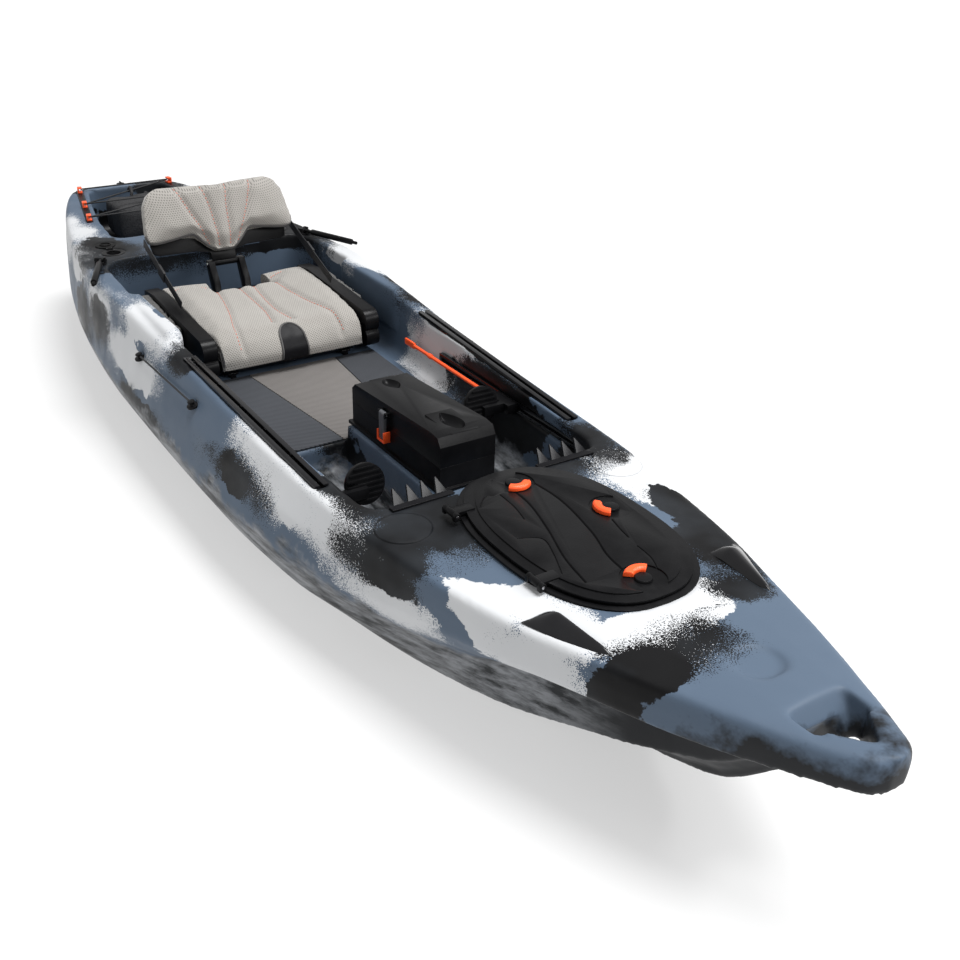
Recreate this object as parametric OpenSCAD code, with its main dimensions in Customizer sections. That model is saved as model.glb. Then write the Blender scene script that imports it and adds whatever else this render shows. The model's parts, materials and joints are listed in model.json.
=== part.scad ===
/* [Hull] */
// Length of the hull from bow to stern
hull_length = 3505; // [3300:5:4400]
// Widest beam of the hull
hull_beam = 864; // [800:2:1100]
// Tallest point of the deck edge above the keel
hull_depth = 392; // [370:1:480]
// Thickness of the moulded hull wall
hull_wall = 5; // [4:0.5:8]
// Height of the crown of the deck over its edges
deck_crown = 8; // [4:1:16]

/* [Cockpit] */
// Front end of the cockpit, measured forward from midships
cockpit_front = 708; // [690:1:860]
// Rear end of the cockpit, measured forward from midships
cockpit_rear = -880; // [-900:1:-860]
// Width of the gunwale on each side of the cockpit
gunwale_width = 60; // [56:1:75]
// Height of the cockpit floor
floor_height = 208; // [190:1:215]
// Height of the two footwell floors
footwell_height = 140; // [110:1:150]
// Rear end of the footwells
footwell_rear = 190; // [150:1:260]
// Height of the ridge that carries the console
ridge_height = 262; // [240:1:270]
// Bore of each scupper hole
scupper_bore = 34; // [24:1:36]

/* [Tank well] */
// Front end of the tank well
tank_front = -1090; // [-1150:1:-1080]
// Rear end of the tank well
tank_rear = -1668; // [-1680:1:-1600]
// Height of the tank well floor
tank_floor = 250; // [230:1:270]

/* [Hatch] */
// Length of the hatch lid
hatch_length = 524; // [440:2:560]
// Width of the hatch lid
hatch_width = 330; // [280:2:340]
// Thickness of the hatch lid plate
lid_plate = 5; // [4:0.5:8]
// Width of the clamping lip inside the hatch rim
rim_lip = 22; // [16:1:26]
// Diameter of each latch shaft
latch_shaft = 16; // [10:1:20]

/* [Gear tracks] */
// Length of each gear track
track_length = 704; // [560:2:850]
// Width of each gear track
track_width = 32; // [28:1:38]
// Height of each gear track
track_height = 14; // [12:1:18]
// Width of the mouth of the T slot
track_slot = 9; // [7:0.5:12]

/* [Foot braces] */
// Length of each foot brace rail
brace_length = 620; // [520:2:640]
// Width of each foot brace rail
brace_height = 26; // [22:1:32]
// Radius of each foot pedal
pedal_radius = 46; // [38:1:50]
// Diameter of each release rod
rod_d = 10; // [7:0.5:12]
// Length of each release rod
rod_length = 430; // [340:5:450]

/* [Console] */
// Length of the console box
console_length = 400; // [330:2:440]
// Width of the console box at its top
console_width = 140; // [110:2:150]
// Height of the console base
console_base_height = 58; // [48:1:70]
// Height of the console lid
console_lid_height = 62; // [50:1:75]
// Wall of the console mouldings
console_wall = 3; // [2.5:0.5:4]

/* [Seat] */
// Width of the seat frame
seat_width = 470; // [390:2:480]
// Length of the seat frame
seat_length = 420; // [350:2:430]
// Width of the seat cushion
cushion_width = seat_width - 40;
// Height of the back cushion along its slope
back_height = 152; // [130:2:200]
// Width of the back cushion
back_width = seat_width - 24;
// Diameter of the backrest hinge pin
back_pin = 8; // [6:0.5:10]

/* [Rod holders] */
// Bore of each flush rod holder
holder_bore = 42; // [36:1:46]
// Depth of each flush rod holder
holder_depth = 190; // [150:2:200]
// Wall of each flush rod holder
holder_wall = 3; // [2:0.5:3.5]

/* [Stern] */
// Length of each stern lashing bar
bar_length = 400; // [330:2:420]
// Diameter of the keel wheel
wheel_d = 92; // [76:1:92]
// Width of the keel wheel
wheel_w = 58; // [46:1:60]
// Diameter of the keel wheel axle
axle_d = 12; // [8:0.5:14]

/* [Fits] */
// Running clearance round a pin or shaft, on the diameter
pin_play = 0.1; // [0.06:0.02:0.16]
// Clearance between faces that move past each other
face_gap = 0.5; // [0.4:0.1:1]
// Clearance round a fitting let into the hull
seat_gap = 1; // [0.5:0.1:1.5]
// Thickness of the deck mats
mat_thickness = 5; // [3:0.5:8]
// Diameter of the shock cord
cord_d = 5; // [4:0.5:7]

/* [Hidden] */
$fn = 32;
eps = 0.01;

// ------------------------------------------------------------------
// Key curves of the hull: [station, value] pairs at the design size.
// The design length, beam and depth below stretch them.
design_length = 3505;
design_beam = 864;
design_depth = 392;
along = hull_length / design_length;
across = hull_beam / design_beam;
up = hull_depth / design_depth;
bow = hull_length / 2;

// Height of the deck edge
SHEER = [[-1752.5, 374], [-1690, 392], [-1450, 388], [-1000, 386], [-650, 386], [-350, 370], [0, 347],
         [300, 331], [560, 323], [900, 322], [1250, 332], [1550, 348], [1752.5, 360]];
// Half breadth at the deck edge
DECK = [[-1752.5, 88], [-1738, 134], [-1700, 176], [-1600, 222], [-1450, 268], [-1200, 325], [-900, 370],
        [-650, 386], [-350, 374], [0, 363], [400, 358], [700, 343], [950, 308], [1132, 270], [1300, 217],
        [1457, 163], [1600, 106], [1700, 62], [1738, 40], [1752.5, 14]];
// Half breadth at the widest point of each section
WIDEST = [[-1752.5, 92], [-1738, 140], [-1700, 184], [-1600, 234], [-1450, 284], [-1200, 346], [-900, 395],
          [-500, 426], [-100, 432], [200, 430], [450, 414], [700, 375], [950, 318], [1132, 276],
          [1300, 222], [1457, 168], [1600, 110], [1700, 65], [1738, 42], [1752.5, 16]];
// Height of the widest point
WIDEST_Z = [[-1752.5, 280], [-1500, 215], [-1000, 180], [0, 172], [500, 185], [900, 225], [1200, 258],
            [1500, 278], [1752.5, 306]];
// Height of the keel
KEEL = [[-1752.5, 200], [-1715, 120], [-1600, 50], [-1400, 10], [-1150, 0], [750, 0], [1000, 8], [1250, 32],
        [1435, 86], [1570, 206], [1650, 276], [1700, 292], [1752.5, 302]];
// Half breadth of the chine as a share of the widest
CHINE = [[-1752.5, 0.8], [-1300, 0.86], [-800, 0.9], [500, 0.9], [900, 0.8], [1200, 0.58], [1450, 0.42],
         [1752.5, 0.5]];
// Height of the chine between the keel and the widest point
CHINE_RISE = [[-1752.5, 0.5], [-800, 0.4], [500, 0.4], [1000, 0.58], [1250, 0.72], [1752.5, 0.7]];
// Depth of the two tunnels beside the keel
TUNNEL = [[-1752.5, 0], [-1400, 8], [-1000, 26], [500, 26], [900, 20], [1150, 8], [1400, 0], [1752.5, 0]];
// Height of the side runners over the keel
RUNNER = [[-1752.5, 6], [-1400, 4], [-1150, 0], [750, 0], [1000, 8], [1250, 40], [1435, 55], [1752.5, 4]];

function span(x, t, i = 0) = (i >= len(t) - 2 || x < t[i + 1][0]) ? i : span(x, t, i + 1);
function grade(t, i) = (t[i + 1][1] - t[i][1]) / (t[i + 1][0] - t[i][0]);
// Slope at a point of the table: flat at a peak, so that the curve never overshoots
function slope(t, i) =
    i == 0 ? grade(t, 0) :
    i == len(t) - 1 ? grade(t, i - 1) :
    grade(t, i - 1) * grade(t, i) <= 0 ? 0 :
    2 * grade(t, i - 1) * grade(t, i) / (grade(t, i - 1) + grade(t, i));
// A smooth curve through the points of a table
function curve(x, t) =
    let (
        i = span(x, t),
        step = t[i + 1][0] - t[i][0],
        u = (x - t[i][0]) / step,
        rise = t[i + 1][1] - t[i][1],
        m = slope(t, i) * step,
        n = slope(t, i + 1) * step
    )
    t[i][1] + u * (m + u * (3 * rise - 2 * m - n + u * (m + n - 2 * rise)));

function mix(a, b, share) = a + (b - a) * share;
function sheer(x) = up * curve(x / along, SHEER);
function deck_half(x) = across * curve(x / along, DECK);
function widest_half(x) = across * curve(x / along, WIDEST);
function widest_z(x) = up * curve(x / along, WIDEST_Z);

// Half of one section, from the keel up to the middle of the deck, inset by a wall
keel_flat = 28;
function half_section(x, wall = 0) =
    let (
        keel = up * curve(x / along, KEEL) + wall,
        edge_z = sheer(x) - wall,
        edge = deck_half(x) - wall,
        wide = widest_half(x) - wall,
        wide_z = widest_z(x),
        chine = wide * curve(x / along, CHINE),
        chine_z = mix(keel, wide_z, curve(x / along, CHINE_RISE)),
        runner = chine * 0.72,
        runner_z = keel + up * curve(x / along, RUNNER),
        tunnel_z = keel + up * curve(x / along, TUNNEL)
    )
    [
        [0, keel],
        [min(keel_flat, chine * 0.22), keel],
        [runner * 0.4, max(tunnel_z, mix(keel, runner_z, 0.4))],
        [runner * 0.68, max(tunnel_z, mix(keel, runner_z, 0.7))],
        [runner * 0.86, runner_z],
        [runner * 1.1, runner_z],
        [chine, chine_z],
        [mix(chine, wide, 0.72), mix(chine_z, wide_z, 0.55)],
        [wide, wide_z - 6],
        [wide, wide_z + 6],
        [mix(wide, edge, 0.45) + 3, mix(wide_z, edge_z, 0.5)],
        [mix(wide, edge, 0.92) + 3, edge_z - 20],
        [edge, edge_z - 5],
        [edge - min(8, edge * 0.3), edge_z],
        [edge * 0.85, edge_z + deck_crown * 0.2],
        [edge * 0.5, edge_z + deck_crown * 0.8],
        [0, edge_z + deck_crown]
    ];
function ring(x, wall) =
    let (half = half_section(x, wall), last = len(half) - 1)
    concat([for (p = half) [x, p[0], p[1]]], [for (i = [last - 1:-1:1]) [x, -half[i][0], half[i][1]]]);

// A closed skin through the sections, with finer steps towards both ends
module skin(wall, reach, steps) {
    rings = [for (i = [0:steps]) ring(reach * sin(-90 + 180 * i / steps), wall)];
    n = len(rings[0]);
    first = [for (k = [0:n - 1]) k];
    final = [for (k = [n - 1:-1:0]) steps * n + k];
    sides = [for (i = [0:steps - 1], k = [0:n - 1], half = [0, 1])
        let (a = i * n + k, b = i * n + (k + 1) % n)
        half == 0 ? [a, b + n, b] : [a, a + n, b + n]];
    polyhedron([for (r = rings) each r], concat([first, final], sides));
}

// ------------------------------------------------------------------
// Shared shapes
function oval(length, width, power = 2.4, n = 64) =
    [for (i = [0:n - 1])
        let (a = 360 * i / n, c = cos(a), s = sin(a))
        [length / 2 * sign(c) * pow(abs(c), 2 / power), width / 2 * sign(s) * pow(abs(s), 2 / power)]];

module plate(length, width, z0, z1) {
    translate([0, 0, z0]) linear_extrude(z1 - z0) polygon(oval(length, width));
}

module block(x, y, z) {
    translate([x[0], y[0], z[0]]) cube([x[1] - x[0], y[1] - y[0], z[1] - z[0]]);
}

module both_sides() {
    children();
    mirror([0, 1, 0]) children();
}

// A round bar from one point to another
module bar(a, b, d) {
    v = b - a;
    translate(a)
        rotate([0, acos(v[2] / norm(v)), atan2(v[1], v[0])])
            cylinder(d = d, h = norm(v));
}

// ------------------------------------------------------------------
// Hull, with every well and seat that is moulded into it
top_z = 600;
function wall_half(x) = deck_half(x) - gunwale_width;

// A basin with rounded corners and sides that open upwards by flare
module basin(points, z0, corner, flare, grow) {
    inset = max(corner - 5, 0);
    hull() {
        translate([0, 0, z0 - grow])
            linear_extrude(1) offset(r = inset + grow) offset(delta = -corner) polygon(points);
        translate([0, 0, z0 + 18])
            linear_extrude(1) offset(r = corner + grow) offset(delta = -corner) polygon(points);
        translate([0, 0, top_z])
            linear_extrude(1) offset(r = corner + flare + grow) offset(delta = -corner) polygon(points);
    }
}

function mirrored(points) =
    concat(points, [for (i = [len(points) - 1:-1:0]) [points[i][0], -points[i][1]]]);

cockpit_stations = [for (s = [0:5]) mix(cockpit_rear, cockpit_front, s / 5)];
module cockpit(grow) {
    outline = mirrored([for (x = cockpit_stations) [x, wall_half(x)]]);
    // The front part stops at the console ridge, the rear part goes down to the floor
    basin(outline, ridge_height, 70, 26, grow);
    rear = mirrored([for (x = [cockpit_rear, -600, -300, footwell_rear + 22]) [x, wall_half(x) - 2]]);
    basin(rear, floor_height, 60, 24, grow);
}

footwell_inner = console_width / 2 + 22;
module footwells(grow) {
    both_sides()
        basin([
            [footwell_rear, footwell_inner], [cockpit_front - 12, footwell_inner],
            [cockpit_front - 12, wall_half(cockpit_front) - 10], [500, wall_half(500) - 6],
            [footwell_rear, wall_half(footwell_rear) - 6]
        ], footwell_height, 34, 16, grow);
}

module tank_well(grow) {
    basin(mirrored([
        [tank_rear, deck_half(tank_rear) - 70], [-1500, deck_half(-1500) - 92],
        [-1300, deck_half(-1300) - 106], [tank_front, deck_half(tank_front) - 128]
    ]), tank_floor, 44, 14, grow);
}

// Mouth of the hatch, with a flat seat for its rim on the deck
hatch_mid = cockpit_front + 14 + hatch_length / 2;
hatch_seat = up * 333;
rim_length = hatch_length - 36;
rim_width = hatch_width - 36;
module hatch_mouth(grow) {
    plate(rim_length + 2 * grow, rim_width + 2 * grow, hatch_seat - 60, top_z);
}
module hatch_level() {
    plate(hatch_length + 34, hatch_width + 34, hatch_seat, top_z);
}

// Carrying hole at the bow, with a pocket that slopes down to it
handle_front = bow - 40;
module bow_handle(grow) {
    half = deck_half(handle_front - 62) - 38;
    hull() {
        translate([handle_front - 78, 0, 0])
            for (y = [-half, half]) translate([0, y, 0]) cylinder(r = 9 + grow, h = top_z, $fn = 20);
        translate([handle_front - 16, 0, 0]) cylinder(r = 9 + grow, h = top_z, $fn = 20);
    }
    hull() {
        translate([handle_front - 74, 0, sheer(bow - 120) - 54 - grow])
            for (y = [-half, half]) translate([0, y, 0]) cylinder(r = 12 + grow, h = top_z, $fn = 20);
        translate([handle_front - 150, 0, sheer(bow - 190) + deck_crown])
            for (y = [-half, half]) translate([0, y * 1.2, 0]) cylinder(r = 8 + grow, h = top_z, $fn = 20);
    }
}

// Round recess on the fore deck
recess_mid = bow - 285;
module bow_recess(grow) {
    translate([recess_mid, 0, sheer(recess_mid) + deck_crown - 4 - grow])
        cylinder(r = min(48, deck_half(recess_mid) - 60) + grow, h = 60);
}

scuppers = [[tank_front - 60, 110], [cockpit_rear + 50, 120], [footwell_rear + 60, 190], [cockpit_front - 180, 190]];
module scupper_holes(grow) {
    both_sides()
        for (s = scuppers)
            translate([s[0], s[1], -20]) cylinder(d = scupper_bore + 2 * grow, h = top_z, $fn = 24);
}

// Slot in the stern keel for the wheel
wheel_mid = [-bow + 262, 0, wheel_d / 2 + 3];
module wheel_slot(grow) {
    reach = wheel_d / 2 + 8 + grow;
    half = wheel_w / 2 + 5 + grow;
    translate(wheel_mid) rotate([90, 0, 0]) cylinder(r = reach, h = 2 * half, center = true);
    block([wheel_mid[0] - reach, wheel_mid[0] + reach], [-half, half], [-20, wheel_mid[2]]);
    boss = axle_d / 2 + 6 + grow;
    translate(wheel_mid) rotate([90, 0, 0])
        cylinder(d = axle_d + 2 * seat_gap, h = 2 * half + 24 - 2 * grow, center = true, $fn = 24);
    if (grow > 0)
        translate(wheel_mid) rotate([90, 0, 0]) cylinder(r = boss, h = 2 * half + 28, center = true);
}

// Gear tracks lie in grooves on the gunwales
track_mid = 205;
track_inset = 31;
track_ends = [for (s = [-1, 1]) let (x = track_mid + s * track_length / 2)
    [x, deck_half(x) - track_inset, sheer(x) + 3]];
module on_track() {
    v = track_ends[1] - track_ends[0];
    translate((track_ends[0] + track_ends[1]) / 2)
        rotate([0, -asin(v[2] / norm(v)), atan2(v[1], v[0])])
            children();
}
module track_grooves(grow) {
    both_sides() on_track()
        block([-track_length / 2 - seat_gap - grow, track_length / 2 + seat_gap + grow],
              [-track_width / 2 - seat_gap - grow, track_width / 2 + seat_gap + grow],
              [-track_height - grow, 60]);
}

// Foot brace rails are let into the cockpit walls
brace_mid = 310;
brace_z = floor_height + 72;
brace_rear_x = brace_mid - brace_length / 2;
brace_front_x = brace_mid + brace_length / 2;
brace_back = max(wall_half(brace_rear_x), wall_half(brace_front_x)) + 12;
brace_face = brace_back - 16;
module brace_seats(grow) {
    both_sides()
        block([brace_rear_x - seat_gap - grow, brace_front_x + seat_gap + grow],
              [wall_half(cockpit_front) - 60, brace_back + grow],
              [brace_z - brace_height / 2 - seat_gap - grow, brace_z + brace_height / 2 + seat_gap + grow]);
}

// Flush rod holders lean aft
holder_lean = 12;
holder_flange = holder_bore / 2 + 14;
holder_at = [cockpit_rear - 82, deck_half(cockpit_rear - 82) - 100, sheer(cockpit_rear - 82) + 2];
module holder_holes(grow) {
    tube = holder_bore / 2 + holder_wall + seat_gap + grow;
    both_sides() translate(holder_at) {
        rotate([0, -holder_lean, 0])
            translate([0, 0, -holder_depth - 6 - grow]) cylinder(r = tube, h = holder_depth + 30);
        translate([0, 0, -4 - grow]) cylinder(r = holder_flange + seat_gap + grow, h = 60);
    }
}

// The hinged cap of each holder lies open behind it
cap_pivot = holder_flange + 6;
cap_r = holder_bore / 2 + 8;
module cap_seats(grow) {
    both_sides() translate(holder_at) {
        translate([-2 * cap_pivot, 0, -5 - grow]) cylinder(r = cap_r + 3 + grow, h = 60);
        block([-2 * cap_pivot, -20], [-14 - grow, 14 + grow], [-5 - grow, 60]);
    }
}

// Lashing bars beside the tank well
bar_mid = -1500;
bar_width = 22;
bar_height = 6;
bar_ends = [for (s = [-1, 1]) let (x = bar_mid + s * bar_length / 2)
    [x, deck_half(x) - (s > 0 ? 72 : 24), sheer(x) + 3]];
module on_bar() {
    v = bar_ends[1] - bar_ends[0];
    translate((bar_ends[0] + bar_ends[1]) / 2)
        rotate([0, -asin(v[2] / norm(v)), atan2(v[1], v[0])])
            children();
}
module bar_seats(grow) {
    both_sides() on_bar()
        block([-bar_length / 2 - seat_gap - grow, bar_length / 2 + seat_gap + grow],
              [-bar_width / 2 - seat_gap - grow, bar_width / 2 + seat_gap + grow],
              [-bar_height - grow, 60]);
}

// Eyes of the paddle keeper on the sloping sides
eye_z = up * 300;
eye_x = [-340, 5];
function side_point(x) =
    let (h = half_section(x), a = h[10], b = h[9], u = (eye_z - a[1]) / (b[1] - a[1]))
    [x, mix(a[0], b[0], u), eye_z];
side_tilt = let (h = half_section(0)) atan2(h[10][1] - h[9][1], h[9][0] - h[10][0]);
eye_r = 15;
module on_eye(x) {
    translate(side_point(x)) rotate([side_tilt - 90, 0, 0]) children();
}
module eye_seats(grow) {
    both_sides()
        for (x = eye_x)
            on_eye(x) translate([0, 0, -3 - grow]) cylinder(r = eye_r + seat_gap + grow, h = 40);
}

// Hoods and combs sit on levelled patches of the deck
hood_front = hatch_mid + hatch_length / 2 + 80;
hood_length = 156;
hood_inner = min(178, deck_half(hood_front) - 34);
hood_outer = deck_half(hood_front - hood_length) - 10;
hood_z = min(sheer(hood_front), sheer(hood_front - hood_length)) + 1;
hood_outline = [
    [hood_front - hood_length - 4, hood_inner + 4], [hood_front - hood_length + 8, hood_outer],
    [hood_front, hood_inner - 3]
];
module hood_seats(grow) {
    both_sides() translate([0, 0, hood_z - grow])
        linear_extrude(60) offset(delta = seat_gap + grow) polygon(hood_outline);
}

comb_pitch = 33;
comb_first = 128;
comb_teeth = 4;
comb_base = [cockpit_front - 4, cockpit_front + 20];
comb_z = sheer(cockpit_front) + 2;
module comb_seats(grow) {
    both_sides()
        block([comb_base[0] - 40, comb_base[1] + seat_gap + grow],
              [comb_first - 22 - seat_gap - grow, comb_first + comb_teeth * comb_pitch - 10 + seat_gap + grow],
              [comb_z - grow, top_z]);
}

// Side handles lie in levelled troughs behind the seat
handle_at = [cockpit_rear - 5, deck_half(cockpit_rear - 5) - 46, sheer(cockpit_rear - 5) + 2];
handle_turn = 22;
handle_length = 225;
module on_handle() {
    translate(handle_at) rotate([0, 0, handle_turn]) children();
}
module handle_seats(grow) {
    both_sides() on_handle() {
        block([-16 - grow, 16 + grow], [-17 - grow, 17 + grow], [-6 - grow, 60]);
        block([0, handle_length + 8 + grow], [-13 - grow, 13 + grow], [-6 - grow, 60]);
    }
}

// Drain plug at the stern
drain_r = 14;
drain_at = [-bow + 36, 0, sheer(-bow + 36) + deck_crown];
module drain_hole(grow) {
    translate(drain_at) {
        translate([0, 0, -3 - grow]) cylinder(r = drain_r + seat_gap + grow, h = 60);
        translate([0, 0, -24 - grow]) cylinder(r = 8.5 + grow, h = 60);
    }
}

// Blocks moulded beside the seat
seat_block = [-600, -250];
module seat_blocks() {
    both_sides()
        hull() {
            block([seat_block[0], seat_block[1]], [wall_half(-400) - 8, deck_half(-400) - 20],
                  [floor_height + 60, sheer(-400) - 6]);
            block([seat_block[0] + 12, seat_block[1] - 14], [wall_half(-400) - 4, deck_half(-400) - 34],
                  [floor_height + 60, sheer(-400) + 14]);
        }
}

module wells(grow) {
    $fn = 20;
    cockpit(grow);
    footwells(grow);
    tank_well(grow);
    bow_handle(grow);
    bow_recess(grow);
    scupper_holes(grow);
    wheel_slot(grow);
    track_grooves(grow);
    brace_seats(grow);
    holder_holes(grow);
    cap_seats(grow);
    bar_seats(grow);
    eye_seats(grow);
    hood_seats(grow);
    comb_seats(grow);
    handle_seats(grow);
    drain_hole(grow);
}

module hull_body() {
    color("lightslategray")
        difference() {
            union() {
                difference() {
                    union() {
                        skin(0, bow, 38);
                        hatch_pad();
                    }
                    translate([hatch_mid, 0, 0]) hatch_level();
                    wells(0);
                }
                seat_blocks();
            }
            translate([hatch_mid, 0, 0]) hatch_mouth(0);
            difference() {
                skin(hull_wall, bow - 26, 24);
                wells(hull_wall);
            }
        }
}
module hatch_pad() {
    translate([hatch_mid, 0, 0]) plate(hatch_length + 20, hatch_width + 20, hatch_seat - 40, hatch_seat);
}

// ------------------------------------------------------------------
// Hatch
rim_top = hatch_seat + 5;
gasket_top = rim_top + 3;
lid_bottom = gasket_top + face_gap;
lid_top = lid_bottom + lid_plate;
hinge_y = -(hatch_width / 2 + 5);
hinge_z = rim_top + 9;
hinge_r = 7;
hinge_pin = 6;
hinge_knuckle = 26;
hinge_lug = 10;
hinge_at = [-168, 114];
module hatch_rim() {
    color([0.08, 0.08, 0.09])
        translate([hatch_mid, 0, 0]) {
            difference() {
                union() {
                    plate(hatch_length + 24, hatch_width + 24, hatch_seat, rim_top);
                    plate(rim_length - 2 * seat_gap, rim_width - 2 * seat_gap, hatch_seat - 28, rim_top);
                }
                plate(rim_length - 2 * rim_lip, rim_width - 2 * rim_lip, hatch_seat - 60, top_z);
                plate(rim_length - 12, rim_width - 12, hatch_seat - 60, hatch_seat);
            }
            for (x = hinge_at, side = [-1, 1])
                translate([x + side * (hinge_knuckle / 2 + face_gap + hinge_lug / 2), hinge_y, 0])
                    difference() {
                        union() {
                            block([-hinge_lug / 2, hinge_lug / 2], [-hinge_r, 3], [rim_top, hinge_z]);
                            translate([-hinge_lug / 2, 0, hinge_z]) rotate([0, 90, 0])
                                cylinder(r = hinge_r, h = hinge_lug);
                        }
                        translate([-hinge_lug, 0, hinge_z]) rotate([0, 90, 0])
                            cylinder(d = hinge_pin, h = 2 * hinge_lug);
                    }
        }
}

module hatch_gasket() {
    color([0.02, 0.02, 0.02])
        translate([hatch_mid, 0, 0])
            difference() {
                plate(rim_length + 6, rim_width + 6, rim_top, gasket_top);
                plate(rim_length - 10, rim_width - 10, rim_top - 1, gasket_top + 1);
            }
}

latch_inset = 58;
latches = [[hatch_length / 2 - latch_inset, 0, 0], [-25, hatch_width / 2 - latch_inset + 3, 90],
           [-hatch_length / 2 + latch_inset, 0, 180]];
panel_top = lid_top + 3;
module hatch_lid() {
    color([0.1, 0.1, 0.11])
        translate([hatch_mid, 0, 0])
            difference() {
                union() {
                    plate(hatch_length, hatch_width, lid_bottom, lid_top);
                    difference() {
                        plate(hatch_length - 44, hatch_width - 44, lid_top - 1, panel_top);
                        for (l = latches)
                            translate([l[0], l[1], lid_top]) cylinder(r = 44, h = 20);
                    }
                    for (x = hinge_at) {
                        translate([x - hinge_knuckle / 2, hinge_y, hinge_z]) rotate([0, 90, 0])
                            cylinder(r = hinge_r, h = hinge_knuckle);
                        block([x - hinge_knuckle / 2, x + hinge_knuckle / 2],
                              [hinge_y, hinge_y + 46], [lid_bottom, hinge_z + 3]);
                    }
                }
                for (x = hinge_at)
                    translate([x - hinge_knuckle, hinge_y, hinge_z]) rotate([0, 90, 0])
                        cylinder(d = hinge_pin + pin_play, h = 2 * hinge_knuckle);
                for (l = latches)
                    translate([l[0], l[1], lid_bottom - 5])
                        cylinder(d = latch_shaft + pin_play, h = 30);
            }
}

module hatch_hinge_pins() {
    reach = hinge_knuckle / 2 + face_gap + hinge_lug;
    color([0.6, 0.6, 0.62])
        translate([hatch_mid, 0, 0])
            for (x = hinge_at)
                translate([x - reach, hinge_y, hinge_z]) rotate([0, 90, 0])
                    cylinder(d = hinge_pin, h = 2 * reach);
}

// A turn latch: curved handle on top, shaft through the lid, cam under it
module turn_latch(l) {
    grip_r = 37;
    grip_angle = 50;
    cam_reach = 26;
    color([1, 0.4, 0.15])
        translate([hatch_mid + l[0], l[1], 0]) rotate([0, 0, l[2]]) {
            translate([0, 0, lid_top + face_gap]) {
                rotate([0, 0, 180 - grip_angle]) rotate_extrude(angle = 2 * grip_angle)
                    polygon([[17, 0], [grip_r, 0], [grip_r, 7], [grip_r - 5, 12], [21, 12], [17, 9]]);
                cylinder(r = 19, h = 5);
            }
            translate([0, 0, hatch_seat - face_gap - 4])
                cylinder(d = latch_shaft, h = lid_top + face_gap + 2 - hatch_seat + face_gap + 4);
            translate([0, 0, hatch_seat - face_gap - 4])
                block([-7, 7], [0, cam_reach], [0, 4]);
        }
}

// ------------------------------------------------------------------
// Gear tracks, hoods and combs
module gear_track() {
    color([0.12, 0.12, 0.13])
        on_track()
            difference() {
                block([-track_length / 2, track_length / 2], [-track_width / 2, track_width / 2],
                      [-track_height, 0]);
                block([-track_length, track_length], [-track_slot / 2, track_slot / 2], [-4, 5]);
                block([-track_length, track_length], [-track_slot, track_slot], [-track_height + 3, -3.5]);
                for (x = track_screw_at)
                    translate([x, 0, -track_height - 1]) cylinder(d = 5, h = 10);
            }
}

track_screw_count = 6;
track_screw_at = [for (i = [0:track_screw_count - 1])
    mix(-track_length / 2 + 30, track_length / 2 - 30, i / (track_screw_count - 1))];
module track_screws() {
    color([0.7, 0.7, 0.72])
        both_sides() on_track()
            for (x = track_screw_at)
                translate([x, 0, -track_height]) {
                    cylinder(d = 5, h = 3.2);
                    translate([0, 0, 3]) cylinder(d = 8, h = 2.5);
                }
}

module bow_hood() {
    rise = 24;
    ridge = [hood_front - hood_length + 26, mix(hood_inner, hood_outer, 0.4)];
    nose = [hood_front - 14, hood_inner];
    color([0.05, 0.05, 0.06])
        hull() {
            translate([0, 0, hood_z]) linear_extrude(3) polygon(hood_outline);
            translate([ridge[0], ridge[1], hood_z]) cylinder(r = 8, h = rise, $fn = 16);
            translate([nose[0] - 20, nose[1] + 8, hood_z]) cylinder(r = 4, h = rise * 0.6, $fn = 16);
        }
}

module lure_combs() {
    first = comb_first - 22;
    last = comb_first + comb_teeth * comb_pitch - 10;
    color([0.06, 0.06, 0.07])
        both_sides() {
            block([comb_base[0] + 6, comb_base[1]], [first, last], [comb_z, comb_z + 6]);
            for (i = [0:comb_teeth - 1])
                translate([comb_base[0] + 6, comb_first + i * comb_pitch, comb_z])
                    rotate([0, 40, 0]) linear_extrude(6) polygon([[-1, -13], [-1, 13], [-38, 1.5], [-38, -1.5]]);
        }
}

// ------------------------------------------------------------------
// Foot braces: rail, sliding pedal and turning release rod
pedal_x = [325, 535];
pedal_y = brace_face - 84;
pedal_rise = 12;
pedal_tilt = 12;
rod_y = brace_face - 17;
rod_z = brace_z;
carriage = 86;
carriage_half = brace_height / 2 - 1;
module brace_rail() {
    color([0.1, 0.1, 0.11])
        difference() {
            block([brace_rear_x, brace_front_x], [brace_face, brace_back],
                  [brace_z - brace_height / 2, brace_z + brace_height / 2]);
            block([brace_rear_x + 12, brace_front_x - 12], [brace_face - 1, brace_face + 8],
                  [brace_z - 4, brace_z + 4]);
            for (x = [brace_rear_x + 25 : 40 : brace_front_x - 20])
                translate([x, brace_face - 1, brace_z - brace_height / 2 + 5])
                    rotate([-90, 0, 0]) cylinder(d = 4, h = 7, $fn = 16);
        }
}

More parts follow.
